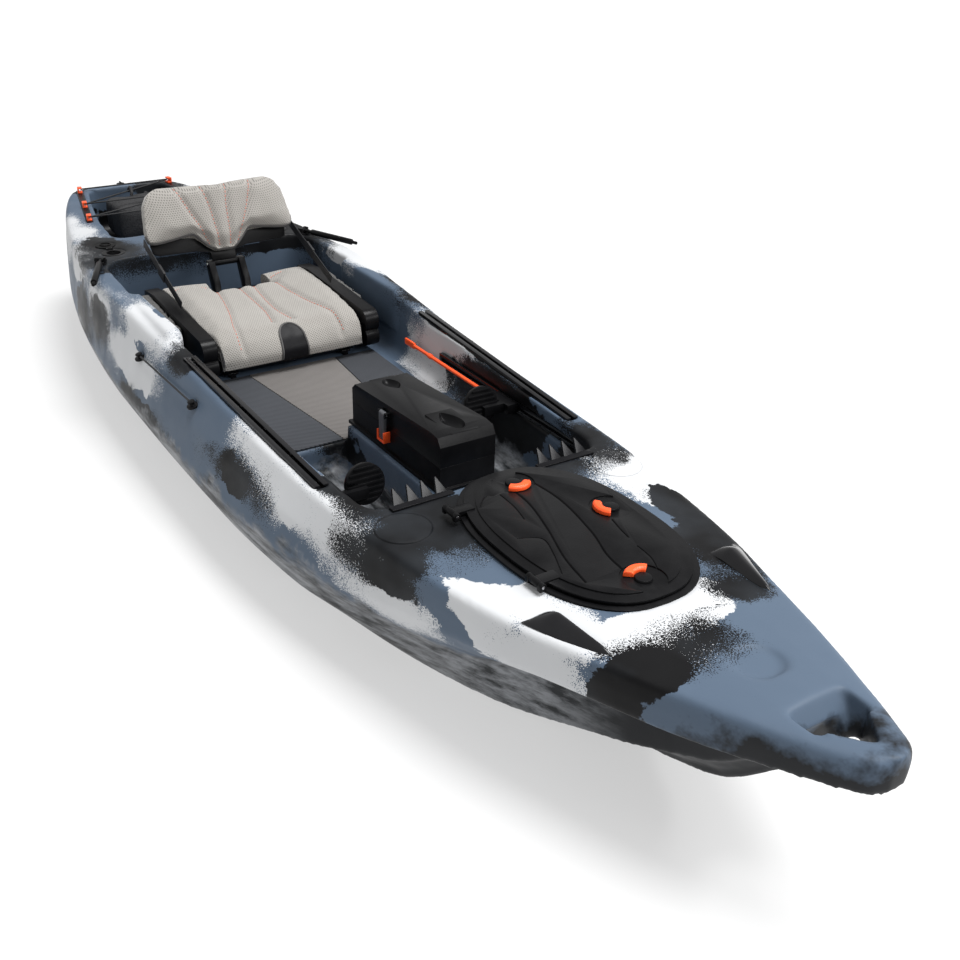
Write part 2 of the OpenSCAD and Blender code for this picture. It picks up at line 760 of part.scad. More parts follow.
module pedal(x) {
    carriage_out = brace_face - face_gap;
    color([0.06, 0.06, 0.07]) {
        translate([x, 0, 0])
            difference() {
                union() {
                    // Carriage and the tongue that runs in the slot of the rail
                    block([-carriage / 2, carriage / 2], [rod_y - 12, carriage_out],
                          [brace_z - carriage_half, brace_z + carriage_half]);
                    block([-carriage / 2, carriage / 2], [carriage_out - 1, brace_face + 7],
                          [brace_z - 3.5, brace_z + 3.5]);
                    // Arm out to the foot pad
                    block([8, 26], [pedal_y, rod_y - 10],
                          [brace_z - carriage_half, brace_z + carriage_half]);
                }
                translate([-carriage, rod_y, rod_z]) rotate([0, 90, 0])
                    cylinder(d = rod_d + pin_play, h = carriage + carriage / 2 - 10);
            }
        translate([x, pedal_y, brace_z + pedal_rise]) rotate([0, 90 - pedal_tilt, 0]) {
            translate([0, 0, 2]) cylinder(r = pedal_radius, h = 10, $fn = 48);
            for (i = [-3:3], z = [[-2, 3], [11, 14]])
                translate([i * 12, 0, 0])
                    block([-2.5, 2.5], [-1, 1] * sqrt(pow(pedal_radius - 3, 2) - pow(i * 12, 2)), z);
        }
    }
}

module release_rod(x) {
    color([1, 0.4, 0.15]) {
        translate([x - rod_length, rod_y, rod_z]) rotate([0, 90, 0])
            cylinder(d = rod_d, h = rod_length + carriage / 2 - 12);
        translate([x - rod_length, rod_y, rod_z])
            block([-46, 4], [-3, 3], [-8, 8]);
        translate([x - rod_length + 80, rod_y, rod_z]) rotate([0, 90, 0])
            cylinder(d = rod_d + 4, h = 12);
    }
}

// ------------------------------------------------------------------
// Console
console_front = cockpit_front - 98;
console_back = console_front - console_length;
console_joint = ridge_height + console_base_height;
lid_slope = 22;
console_hinge = [console_width / 2 + 9, console_joint + 4];
console_pin = 5;
knuckle_at = [0.16, 0.84];
knuckle_half = 16;
module console_base() {
    half = console_width / 2;
    color([0.07, 0.07, 0.08])
        difference() {
            union() {
                block([console_back, console_front], [-half, half], [ridge_height, console_joint]);
                block([console_back - 8, console_front + 8], [-half - 8, half + 8],
                      [ridge_height, ridge_height + 8]);
                for (s = knuckle_at, side = [-1, 1])
                    translate([mix(console_back, console_front, s) + side * (knuckle_half + 5 + face_gap), 0, 0])
                        console_lug();
            }
            block([console_back + console_wall, console_front - console_wall],
                  [-half + console_wall, half - console_wall], [ridge_height + console_wall, top_z]);
            translate([console_back - 20, console_hinge[0], console_hinge[1]]) rotate([0, 90, 0])
                cylinder(d = console_pin, h = console_length + 40);
        }
}
module console_lug() {
    lug_half = 5;
    block([-lug_half, lug_half], [console_width / 2 - 1, console_hinge[0]],
          [console_joint - 16, console_joint]);
    block([-lug_half, lug_half], [console_width / 2 + face_gap, console_hinge[0]],
          [console_joint - 1, console_hinge[1] + 3]);
    translate([-lug_half, console_hinge[0], console_hinge[1]]) rotate([0, 90, 0])
        cylinder(r = 6, h = 2 * lug_half);
}

latch_x = mix(console_back, console_front, 0.42);
latch_pivot = [-console_width / 2 - 9, console_joint + 38];
latch_pin = 4;
latch_w = 22;
latch_drop = 62;
module console_lid() {
    half = console_width / 2;
    bottom = console_joint + face_gap;
    front_top = bottom + console_lid_height + 8;
    rear_top = front_top - lid_slope;
    profile = [[console_back, bottom], [console_front, bottom], [console_front, front_top - 22],
               [console_front - 12, front_top - 3], [console_front - 40, front_top],
               [console_back + 14, rear_top], [console_back, rear_top - 14]];
    color([0.09, 0.09, 0.1])
        difference() {
            union() {
                translate([0, half, 0]) rotate([90, 0, 0]) linear_extrude(2 * half) polygon(profile);
                for (s = knuckle_at)
                    translate([mix(console_back, console_front, s), 0, 0]) {
                        translate([-knuckle_half, console_hinge[0], console_hinge[1]]) rotate([0, 90, 0])
                            cylinder(r = 6, h = 2 * knuckle_half);
                        block([-knuckle_half, knuckle_half], [half - 1, console_hinge[0]],
                              [console_hinge[1] - 3, console_hinge[1] + 6]);
                    }
                for (side = [-1, 1])
                    translate([latch_x + side * (latch_w / 2 + 3 + face_gap), 0, 0])
                        block([-3, 3], [latch_pivot[0] - 5, -half + 1], [latch_pivot[1] - 6, latch_pivot[1] + 6]);
            }
            translate([0, half - console_wall, 0]) rotate([90, 0, 0])
                linear_extrude(2 * (half - console_wall)) polygon([
                    [console_back + console_wall, bottom - 1], [console_front - console_wall, bottom - 1],
                    [console_front - console_wall, front_top - 24],
                    [console_front - 14, front_top - 3 - console_wall],
                    [console_front - 40, front_top - console_wall],
                    [console_back + 15, rear_top - console_wall],
                    [console_back + console_wall, rear_top - 15]
                ]);
            translate([console_back - 20, console_hinge[0], console_hinge[1]]) rotate([0, 90, 0])
                cylinder(d = console_pin + pin_play, h = console_length + 40);
            translate([latch_x - latch_w, latch_pivot[0], latch_pivot[1]]) rotate([0, 90, 0])
                cylinder(d = latch_pin, h = 2 * latch_w);
        }
}

module console_hinge_pin() {
    reach = knuckle_half + 10 + face_gap;
    x0 = mix(console_back, console_front, knuckle_at[0]) - reach;
    x1 = mix(console_back, console_front, knuckle_at[1]) + reach;
    color([0.6, 0.6, 0.62])
        translate([x0, console_hinge[0], console_hinge[1]]) rotate([0, 90, 0])
            cylinder(d = console_pin, h = x1 - x0);
}

module console_latch() {
    color([0.35, 0.36, 0.38])
        difference() {
            union() {
                translate([latch_x - latch_w / 2, latch_pivot[0], latch_pivot[1]]) rotate([0, 90, 0])
                    cylinder(r = 6, h = latch_w);
                block([latch_x - latch_w / 2, latch_x + latch_w / 2],
                      [latch_pivot[0] - 6, latch_pivot[0] + 2],
                      [latch_pivot[1] - latch_drop, latch_pivot[1]]);
            }
            translate([latch_x - latch_w, latch_pivot[0], latch_pivot[1]]) rotate([0, 90, 0])
                cylinder(d = latch_pin + pin_play, h = 2 * latch_w);
        }
}

module console_latch_pin() {
    reach = latch_w / 2 + 6 + face_gap;
    color([0.6, 0.6, 0.62])
        translate([latch_x - reach, latch_pivot[0], latch_pivot[1]]) rotate([0, 90, 0])
            cylinder(d = latch_pin, h = 2 * reach);
}

module console_catch() {
    half = console_width / 2;
    foot = latch_pivot[1] - latch_drop - 1.5;
    cheek = latch_w / 2 + 1;
    color([1, 0.4, 0.15]) {
        for (side = [-1, 1])
            block([latch_x + side * cheek - (side < 0 ? 4 : 0), latch_x + side * cheek + (side < 0 ? 0 : 4)],
                  [-half - 18, -half], [foot - 5, foot + 22]);
        block([latch_x - cheek - 4, latch_x + cheek + 4], [-half - 18, -half], [foot - 5, foot]);
    }
}

// ------------------------------------------------------------------
// Deck mats
rail_end = 292;
mat_rear = -rail_end + 4;
mat_front = footwell_rear - 6;
mat_edge = [250, 236];
mat_seam = [130, 84];
mat_line = 1;
module deck_mat_centre() {
    color([0.55, 0.53, 0.52])
        translate([0, 0, floor_height]) linear_extrude(mat_thickness) polygon(mirrored([
            [mat_rear, mat_seam[0] - mat_line], [mat_front, mat_seam[1] - mat_line]
        ]));
}
module deck_mat_side() {
    color([0.28, 0.31, 0.34])
        translate([0, 0, floor_height]) linear_extrude(mat_thickness) polygon([
            [mat_rear, mat_seam[0] + mat_line], [mat_front, mat_seam[1] + mat_line],
            [mat_front, mat_edge[1] - 26], [mat_front - 26, mat_edge[1]], [mat_rear, mat_edge[0]]
        ]);
}

// ------------------------------------------------------------------
// Seat
seat_front = -283;
seat_rear = seat_front - seat_length;
rail_y = seat_width / 2 - 66;
rail_top = floor_height + 16;
shoe_play = face_gap;
module seat_rails() {
    color([0.5, 0.5, 0.52])
        both_sides() {
            block([seat_rear - 80, -rail_end - 3], [rail_y - 7, rail_y + 7], [floor_height, rail_top]);
            block([seat_rear - 80, -rail_end - 3], [rail_y - 14, rail_y + 14], [rail_top - 5, rail_top]);
        }
}

pan_bottom = rail_top + shoe_play;
pan_front_top = pan_bottom + 34;
pan_rear_top = pan_bottom + 84;
back_pivot = [seat_rear - 32, pan_rear_top + 76];
back_lug_y = [38, 56];
module seat_pan() {
    half = seat_width / 2 - 46;
    color([0.07, 0.07, 0.08]) {
        difference() {
            union() {
                // Wedge-shaped pan, open underneath
                translate([0, half, 0]) rotate([90, 0, 0]) linear_extrude(2 * half) polygon([
                    [seat_rear, pan_bottom], [seat_front - 14, pan_bottom], [seat_front, pan_bottom + 12],
                    [seat_front, pan_front_top - 8], [seat_front - 12, pan_front_top],
                    [seat_rear + 60, pan_rear_top - 8], [seat_rear, pan_rear_top]
                ]);
                // Rear lugs of the backrest hinge
                both_sides()
                    translate([0, back_lug_y[1], 0]) rotate([90, 0, 0])
                        linear_extrude(back_lug_y[1] - back_lug_y[0]) polygon([
                            [seat_rear + 20, pan_rear_top - 10], [seat_rear + 14, pan_rear_top + 30],
                            [back_pivot[0] + 11, back_pivot[1] + 8], [back_pivot[0] - 9, back_pivot[1] + 9],
                            [back_pivot[0] - 11, back_pivot[1] - 8], [seat_rear, pan_rear_top - 30]
                        ]);
            }
            translate([0, half - 6, 0]) rotate([90, 0, 0]) linear_extrude(2 * half - 12) polygon([
                [seat_rear + 6, pan_bottom - 1], [seat_front - 20, pan_bottom - 1],
                [seat_front - 8, pan_bottom + 14], [seat_front - 8, pan_front_top - 12],
                [seat_rear + 60, pan_rear_top - 15], [seat_rear + 6, pan_rear_top - 7]
            ]);
            translate([back_pivot[0], -100, back_pivot[1]]) rotate([-90, 0, 0])
                cylinder(d = back_pin, h = 200);
        }
        // Shoes that grip the rails
        both_sides()
            for (x = [seat_front - 70, seat_rear + 30])
                shoe(x);
    }
}
module shoe(x) {
    low = floor_height + mat_thickness + 1;
    outer = rail_y + 14 + shoe_play;
    inner = rail_y - 14 - shoe_play;
    block([x, x + 40], [outer, outer + 5], [low, pan_bottom + 2]);
    block([x, x + 40], [inner - 5, inner], [low, pan_bottom + 2]);
    block([x, x + 40], [inner - 5, outer + 5], [pan_bottom, pan_bottom + 6]);
    block([x, x + 40], [rail_y + 7 + shoe_play, outer + 1], [low, rail_top - 5 - shoe_play]);
    block([x, x + 40], [inner - 1, rail_y - 7 - shoe_play], [low, rail_top - 5 - shoe_play]);
}

bolster_in = seat_width / 2 - 12;
bolster_w = 40;
module seat_bolster() {
    nose = 34;
    arm_z = pan_front_top + 44;
    color([0.05, 0.05, 0.06])
        translate([0, bolster_in + bolster_w - 4, 0]) rotate([90, 0, 0])
            linear_extrude(bolster_w) {
                translate([seat_front - nose + 22, arm_z]) circle(r = nose);
                translate([seat_front - nose + 30, pan_bottom + nose]) circle(r = nose - 6);
                polygon([
                    [seat_front - 2, arm_z - 24], [seat_front - nose + 22, arm_z + nose],
                    [seat_rear + 70, arm_z + 52], [seat_rear - 6, arm_z + 44],
                    [seat_rear - 20, arm_z + 6], [seat_rear + 40, pan_bottom + 8],
                    [seat_front - nose + 30, pan_bottom + 6], [seat_front + 18, pan_bottom + 18],
                    [seat_front + 20, pan_bottom + nose + 8]
                ]);
            }
    // Foot that joins the bolster to the pan
    color([0.05, 0.05, 0.06])
        block([seat_rear + 60, seat_front - 60], [seat_width / 2 - 46, bolster_in - 3],
              [pan_bottom + 4, pan_bottom + 24]);
}

module seat_cushion() {
    half = cushion_width / 2;
    gap = 1;
    thick = 54;
    color([0.68, 0.66, 0.63])
        difference() {
            translate([0, half, 0]) rotate([90, 0, 0]) linear_extrude(2 * half) polygon([
                [seat_rear + 10, pan_rear_top + gap - 2], [seat_rear + 60, pan_rear_top - 7 + gap],
                [seat_front - 12, pan_front_top + gap], [seat_front + gap, pan_front_top - 6],
                [seat_front + gap, pan_bottom + 14], [seat_front + 20, pan_bottom + 14],
                [seat_front + 26, pan_front_top + 8], [seat_front + 8, pan_front_top + 50],
                [seat_front - 24, pan_front_top + 66], [seat_rear + 60, pan_rear_top + thick - 6],
                [seat_rear + 14, pan_rear_top + thick - 8]
            ]);
            block([seat_rear - 10, seat_rear + 84], [-84, 84], [0, top_z]);
        }
}

module side_pocket() {
    color([0.25, 0.25, 0.26])
        translate([0, bolster_in + bolster_w - 4 + 26, 0]) rotate([90, 0, 0])
            linear_extrude(25) polygon([
                [seat_rear + 20, pan_bottom + 44], [seat_rear + 70, pan_bottom + 22],
                [seat_rear + 270, pan_bottom + 22], [seat_rear + 300, pan_bottom + 44],
                [seat_rear + 290, pan_bottom + 104], [seat_rear + 30, pan_bottom + 122]
            ]);
}

// ------------------------------------------------------------------
// Backrest, built upright on its pivot and leaned back
back_lean = 26;
back_low = 78;
back_thick = 42;
module on_back() {
    translate([back_pivot[0], 0, back_pivot[1]]) rotate([0, -back_lean, 0]) children();
}
function back_outline(half, low, high, dip) = mirrored([
    [high, half * 0.72], [high - 14, half * 0.86], [high - 46, half * 0.95], [low + 30, half],
    [low + 6, half * 0.98], [low, half * 0.9], [low - 2, half * 0.38], [dip + 12, half * 0.2], [dip, half * 0.1]
]);
module back_panel(half, low, high, dip, w0, w1) {
    translate([w0, 0, 0]) rotate([0, 90, 0])
        linear_extrude(w1 - w0) rotate([0, 0, 180]) mirror([0, 1, 0])
            polygon(back_outline(half, low, high, dip));
}
module back_frame() {
    barrel = back_lug_y[0] - face_gap;
    color([0.06, 0.06, 0.07])
        difference() {
            union() {
                on_back() {
                    back_panel(back_width / 2 - 14, back_low - 34, back_low + back_height - 24, 22, -8, -1);
                    block([-8, -1], [-barrel, barrel], [4, 60]);
                    for (y = [-1, 1] * (back_width / 2 - 40))
                        block([-14, -7], [y - 10, y + 10], [back_low - 20, back_low + back_height - 60]);
                }
                translate([back_pivot[0], -barrel, back_pivot[1]]) rotate([-90, 0, 0])
                    cylinder(r = 9, h = 2 * barrel);
            }
            translate([back_pivot[0], -100, back_pivot[1]]) rotate([-90, 0, 0])
                cylinder(d = back_pin + pin_play, h = 200);
        }
}
module back_hinge_pin() {
    color([0.6, 0.6, 0.62])
        translate([back_pivot[0], -back_lug_y[1] - 3, back_pivot[1]]) rotate([-90, 0, 0])
            cylinder(d = back_pin, h = 2 * back_lug_y[1] + 6);
}
module back_cushion() {
    color([0.68, 0.66, 0.63])
        on_back() back_panel(back_width / 2, back_low, back_low + back_height, back_low - 46, 0, back_thick);
}

strap_top = [back_pivot[0] - 34, 0, back_pivot[1] + 80];
strap_foot = [seat_rear + 210, 0, pan_front_top + 105];
module back_strap() {
    v = strap_foot - strap_top;
    width = 25;
    color([0.08, 0.08, 0.08])
        translate([strap_top[0], back_width / 2 + 3, strap_top[2]])
            rotate([0, atan2(-v[2], v[0]), 0]) {
                block([0, norm(v)], [0, 2.5], [-width / 2, width / 2]);
                block([norm(v) * 0.42, norm(v) * 0.42 + 46], [-1, 5.5], [-width / 2 - 3, width / 2 + 3]);
            }
}

// ------------------------------------------------------------------
// Rod holders and their caps
module rod_holder() {
    outer = holder_bore / 2 + holder_wall;
    color([0.05, 0.05, 0.06])
        translate(holder_at)
            difference() {
                union() {
                    translate([0, 0, -4]) cylinder(r = holder_flange, h = 4);
                    rotate([0, -holder_lean, 0]) intersection() {
                        translate([0, 0, -holder_depth - 3]) cylinder(r = outer, h = holder_depth + 3);
                        rotate([0, holder_lean, 0])
                            block([-200, 200], [-100, 100], [-holder_depth - 60, -1]);
                    }
                    translate([-holder_flange, 0, 0]) holder_lugs();
                }
                rotate([0, -holder_lean, 0])
                    translate([0, 0, -holder_depth]) cylinder(d = holder_bore, h = holder_depth + 40);
                translate([-cap_pivot, -20, cap_axis]) rotate([-90, 0, 0]) cylinder(d = cap_pin, h = 40);
            }
}
cap_axis = 0.75;
cap_pin = 3;
module holder_lugs() {
    for (y = [-9, 5])
        block([-10, 1], [y, y + 4], [-4, cap_axis + 2.5]);
}

module rod_cap() {
    centre = -2 * cap_pivot;
    color([0.04, 0.04, 0.05])
        translate(holder_at)
            difference() {
                union() {
                    translate([centre, 0, 0]) {
                        translate([0, 0, -3]) cylinder(r = cap_r, h = 4);
                        difference() {
                            cylinder(r = holder_bore / 2 - 4, h = 5);
                            translate([0, 0, 1]) cylinder(r = holder_bore / 2 - 7, h = 5);
                        }
                    }
                    block([centre + cap_r - 4, -cap_pivot], [-4.5, 4.5], [-1.5, 1]);
                    translate([-cap_pivot, -4.5, cap_axis]) rotate([-90, 0, 0]) cylinder(r = 3.5, h = 9);
                }
                translate([-cap_pivot, -20, cap_axis]) rotate([-90, 0, 0])
                    cylinder(d = cap_pin + pin_play, h = 40);
            }
}

module cap_hinge_pins() {
    color([0.6, 0.6, 0.62])
        both_sides()
            translate(holder_at + [-cap_pivot, -9, cap_axis]) rotate([-90, 0, 0]) cylinder(d = cap_pin, h = 18);
}

// ------------------------------------------------------------------
// Stern lashing bars, hooks, cord and bag
module lashing_bars() {
    color([0.06, 0.06, 0.07])
        both_sides() on_bar()
            block([-bar_length / 2, bar_length / 2], [-bar_width / 2, bar_width / 2], [-bar_height, 0]);
}

hook_at = [-0.42, 0.05, 0.44];
hook_z = 11;
module lashing_hooks() {
    color([1, 0.35, 0.12])
        both_sides() on_bar()
            for (s = hook_at)
                translate([s * bar_length, 0, 0]) {
                    block([-11, 11], [-8, 8], [0, 5]);
                    block([-11, 11], [3, 8], [4, 19]);
                    block([-11, 11], [-7, 8], [15, 19]);
                }
}
function on_bar_point(side, s) =
    let (a = bar_ends[0], b = bar_ends[1], p = a + (b - a) * (s + 0.5))
    [p[0], side * (p[1] - 3), p[2] + hook_z];
stern_route = [for (s = hook_at, side = [-1, 1]) on_bar_point(side, s)];
// One cord that zigzags from hook to hook, with a bead in each
module stern_cord() {
    color([0.03, 0.03, 0.03]) {
        for (i = [0:len(stern_route) - 2])
            bar(stern_route[i], stern_route[i + 1], cord_d);
        for (p = stern_route)
            translate(p) cylinder(d = cord_d + 2.4, h = cord_d + 2, center = true);
    }
}

bag_size = [180, 190, 140];
bag_mid = tank_rear + 40 + bag_size[0] / 2;
module gear_bag() {
    r = 30;
    color([0.05, 0.05, 0.05])
        translate([bag_mid, 0, tank_floor + 1])
            hull()
                for (x = [-1, 1], y = [-1, 1], z = [r, bag_size[2] - r])
                    translate([x * (bag_size[0] / 2 - r), y * (bag_size[1] / 2 - r), z]) sphere(r = r, $fn = 16);
}

// ------------------------------------------------------------------
// Paddle keepers on the sides
module paddle_eyes() {
    color([0.05, 0.05, 0.06])
        both_sides()
            for (x = eye_x)
                on_eye(x) {
                    translate([0, 0, -3]) cylinder(r = eye_r, h = 5);
                    translate([0, 0, 1]) cylinder(r = 6, h = 11);
                    translate([0, 0, 10]) cylinder(r = 9, h = 3);
                }
}
function eye_top(x) = side_point(x) + [0, cos(side_tilt) * 6, sin(side_tilt) * 6];
module paddle_cord() {
    a = eye_top(eye_x[0]);
    b = eye_top(eye_x[1]);
    v = (b - a) / norm(b - a);
    color([0.03, 0.03, 0.03]) bar(a + v * 5.9, b - v * 5.9, cord_d);
}

// ------------------------------------------------------------------
// Side handles
handle_z = 8;
module handle_brackets() {
    color([0.05, 0.05, 0.06])
        both_sides() on_handle()
            difference() {
                union() {
                    block([-15, 15], [-16, 16], [-6, 0]);
                    for (y = [-16, 9])
                        block([-8, 8], [y, y + 7], [-1, handle_z + 8]);
                    translate([0, -18, handle_z]) rotate([-90, 0, 0]) cylinder(d = 6, h = 36);
                }
            }
}
module side_handle() {
    grip = 18;
    color([0.04, 0.04, 0.05])
        on_handle()
            difference() {
                union() {
                    translate([0, -8, handle_z]) rotate([-90, 0, 0]) cylinder(r = 7, h = 16);
                    translate([4, 0, handle_z]) rotate([0, 90, 0]) cylinder(d = 10, h = handle_length - 6);
                    translate([38, 0, handle_z]) rotate([0, 90, 0]) cylinder(d = grip, h = handle_length - 60);
                }
                translate([0, -20, handle_z]) rotate([-90, 0, 0]) cylinder(d = 6 + pin_play, h = 40);
            }
}

// ------------------------------------------------------------------
// Keel wheel and drain plug
module keel_wheel() {
    color([0.1, 0.1, 0.11])
        translate(wheel_mid) rotate([90, 0, 0])
            rotate_extrude($fn = 64) {
                polygon([
                    [axle_d / 2 + pin_play / 2, -wheel_w / 2], [axle_d / 2 + 9, -wheel_w / 2],
                    [axle_d / 2 + 11, -wheel_w / 2 + 8], [wheel_d / 2 - 14, -wheel_w / 2 + 8],
                    [wheel_d / 2 - 10, -wheel_w / 2 + 3], [wheel_d / 2 - 3, -wheel_w / 2 + 3],
                    [wheel_d / 2, -wheel_w / 2 + 9], [wheel_d / 2, wheel_w / 2 - 9],
                    [wheel_d / 2 - 3, wheel_w / 2 - 3], [wheel_d / 2 - 10, wheel_w / 2 - 3],
                    [wheel_d / 2 - 14, wheel_w / 2 - 8], [axle_d / 2 + 11, wheel_w / 2 - 8],
                    [axle_d / 2 + 9, wheel_w / 2], [axle_d / 2 + pin_play / 2, wheel_w / 2]
                ]);
            }
}
module wheel_axle() {
    color([0.6, 0.6, 0.62])
        translate(wheel_mid) rotate([90, 0, 0]) cylinder(d = axle_d, h = wheel_w + 28, center = true);
}

module drain_plug() {
    color([0.05, 0.05, 0.06])
        translate(drain_at) {
            translate([0, 0, -3]) cylinder(r = drain_r, h = 5);
            translate([0, 0, -22]) cylinder(r = 8, h = 20);
            block([-10, 10], [-2, 2], [1, 8]);
        }
}

// ------------------------------------------------------------------
module starboard() {
    mirror([0, 1, 0]) children();
}

hull_body();  // hull
hatch_rim();
hatch_gasket();
hatch_lid();
hatch_hinge_pins();
turn_latch(latches[0]);  // hatch_latch_front
turn_latch(latches[1]);  // hatch_latch_side
turn_latch(latches[2]);  // hatch_latch_rear
gear_track();  // gear_track_port
starboard() gear_track();  // gear_track_stbd
track_screws();
bow_hood();  // bow_hood_port
starboard() bow_hood();  // bow_hood_stbd
lure_combs();
brace_rail();  // brace_rail_port
starboard() brace_rail();  // brace_rail_stbd
pedal(pedal_x[0]);  // pedal_port
starboard() pedal(pedal_x[1]);  // pedal_stbd
release_rod(pedal_x[0]);  // release_rod_port
starboard() release_rod(pedal_x[1]);  // release_rod_stbd
console_base();
console_lid();
console_hinge_pin();
console_latch();
console_latch_pin();
console_catch();
deck_mat_centre();
deck_mat_side();  // deck_mat_port
starboard() deck_mat_side();  // deck_mat_stbd
seat_rails();
seat_pan();
seat_bolster();  // seat_bolster_port
starboard() seat_bolster();  // seat_bolster_stbd
seat_cushion();
side_pocket();  // side_pocket_port
starboard() side_pocket();  // side_pocket_stbd
back_frame();
back_hinge_pin();
back_cushion();
back_strap();  // back_strap_port
starboard() back_strap();  // back_strap_stbd
rod_holder();  // rod_holder_port
starboard() rod_holder();  // rod_holder_stbd
rod_cap();  // rod_cap_port
starboard() rod_cap();  // rod_cap_stbd
cap_hinge_pins();
lashing_bars();
lashing_hooks();
stern_cord();
gear_bag();
paddle_eyes();
paddle_cord();  // paddle_cord_port
starboard() paddle_cord();  // paddle_cord_stbd
handle_brackets();
side_handle();  // side_handle_port
starboard() side_handle();  // side_handle_stbd
keel_wheel();
wheel_axle();
drain_plug();
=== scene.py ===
import itertools
import json
import math
import random

import bpy
import numpy as np
from mathutils import Matrix, Vector
from mathutils.bvhtree import BVHTree


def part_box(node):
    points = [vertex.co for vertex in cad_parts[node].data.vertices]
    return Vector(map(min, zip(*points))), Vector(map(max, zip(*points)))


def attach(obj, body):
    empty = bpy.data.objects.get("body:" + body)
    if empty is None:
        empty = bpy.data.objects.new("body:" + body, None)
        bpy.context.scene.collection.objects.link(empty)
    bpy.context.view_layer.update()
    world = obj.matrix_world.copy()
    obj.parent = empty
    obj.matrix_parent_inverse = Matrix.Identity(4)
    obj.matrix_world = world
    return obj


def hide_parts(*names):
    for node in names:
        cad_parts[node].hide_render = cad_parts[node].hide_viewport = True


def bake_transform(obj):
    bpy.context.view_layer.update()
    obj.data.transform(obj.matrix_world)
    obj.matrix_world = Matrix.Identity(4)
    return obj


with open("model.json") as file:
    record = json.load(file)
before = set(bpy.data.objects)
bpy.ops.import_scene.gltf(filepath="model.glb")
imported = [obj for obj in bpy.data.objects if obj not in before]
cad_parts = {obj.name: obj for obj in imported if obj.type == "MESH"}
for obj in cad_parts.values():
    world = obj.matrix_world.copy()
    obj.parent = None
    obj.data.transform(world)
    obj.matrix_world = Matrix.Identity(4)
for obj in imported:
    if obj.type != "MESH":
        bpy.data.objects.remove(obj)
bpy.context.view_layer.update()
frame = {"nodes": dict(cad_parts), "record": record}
nodes = frame["nodes"]
body_of = {
    node: body
    for body, members in frame["record"]["behaviour"]["bodies"].items()
    for node in members
}


# ---------------------------------------------------------------- camera
# A camera at eye height off the starboard bow, looking down and aft along
# the whole kayak.
camera_at = (2.4477, -1.1994, 1.4682)
camera_yaw, camera_pitch, camera_roll = (math.radians(a) for a in (146.16, -28.523, 1.644))
level = math.cos(camera_pitch)
aim = Vector((level * math.cos(camera_yaw), level * math.sin(camera_yaw), math.sin(camera_pitch)))
level_right = aim.cross(Vector((0, 0, 1))).normalized()
level_up = level_right.cross(aim)
right = level_right * math.cos(camera_roll) + level_up * math.sin(camera_roll)
over = level_up * math.cos(camera_roll) - level_right * math.sin(camera_roll)
camera_turn = Matrix((right, over, -aim)).transposed().to_4x4()
bpy.ops.object.camera_add(location=camera_at)
camera = bpy.context.object
camera.name = "camera"
camera.matrix_world = Matrix.Translation(camera_at) @ camera_turn
camera.data.sensor_width = 36
camera.data.lens = 43.16
camera.data.clip_end = 500
bpy.context.scene.camera = camera


# ---------------------------------------------------------------- cords
# Black shock cord with a woven cover. One length zigzags over the tank
# well from hook to hook, and one on each side holds a paddle shaft.
cord_width = 0.005
SIDES = ((1, "port"), (-1, "stbd"))


def material(name, colour, roughness=0.5, metallic=0.0, specular=0.5):
    """A plain finish, to which each section adds its own grain."""
    made = bpy.data.materials.new(name)
    made.use_nodes = True
    shader = made.node_tree.nodes["Principled BSDF"]
    shader.inputs["Base Color"].default_value = (*colour, 1)
    shader.inputs["Roughness"].default_value = roughness
    shader.inputs["Metallic"].default_value = metallic
    shader.inputs["Specular IOR Level"].default_value = specular
    return made


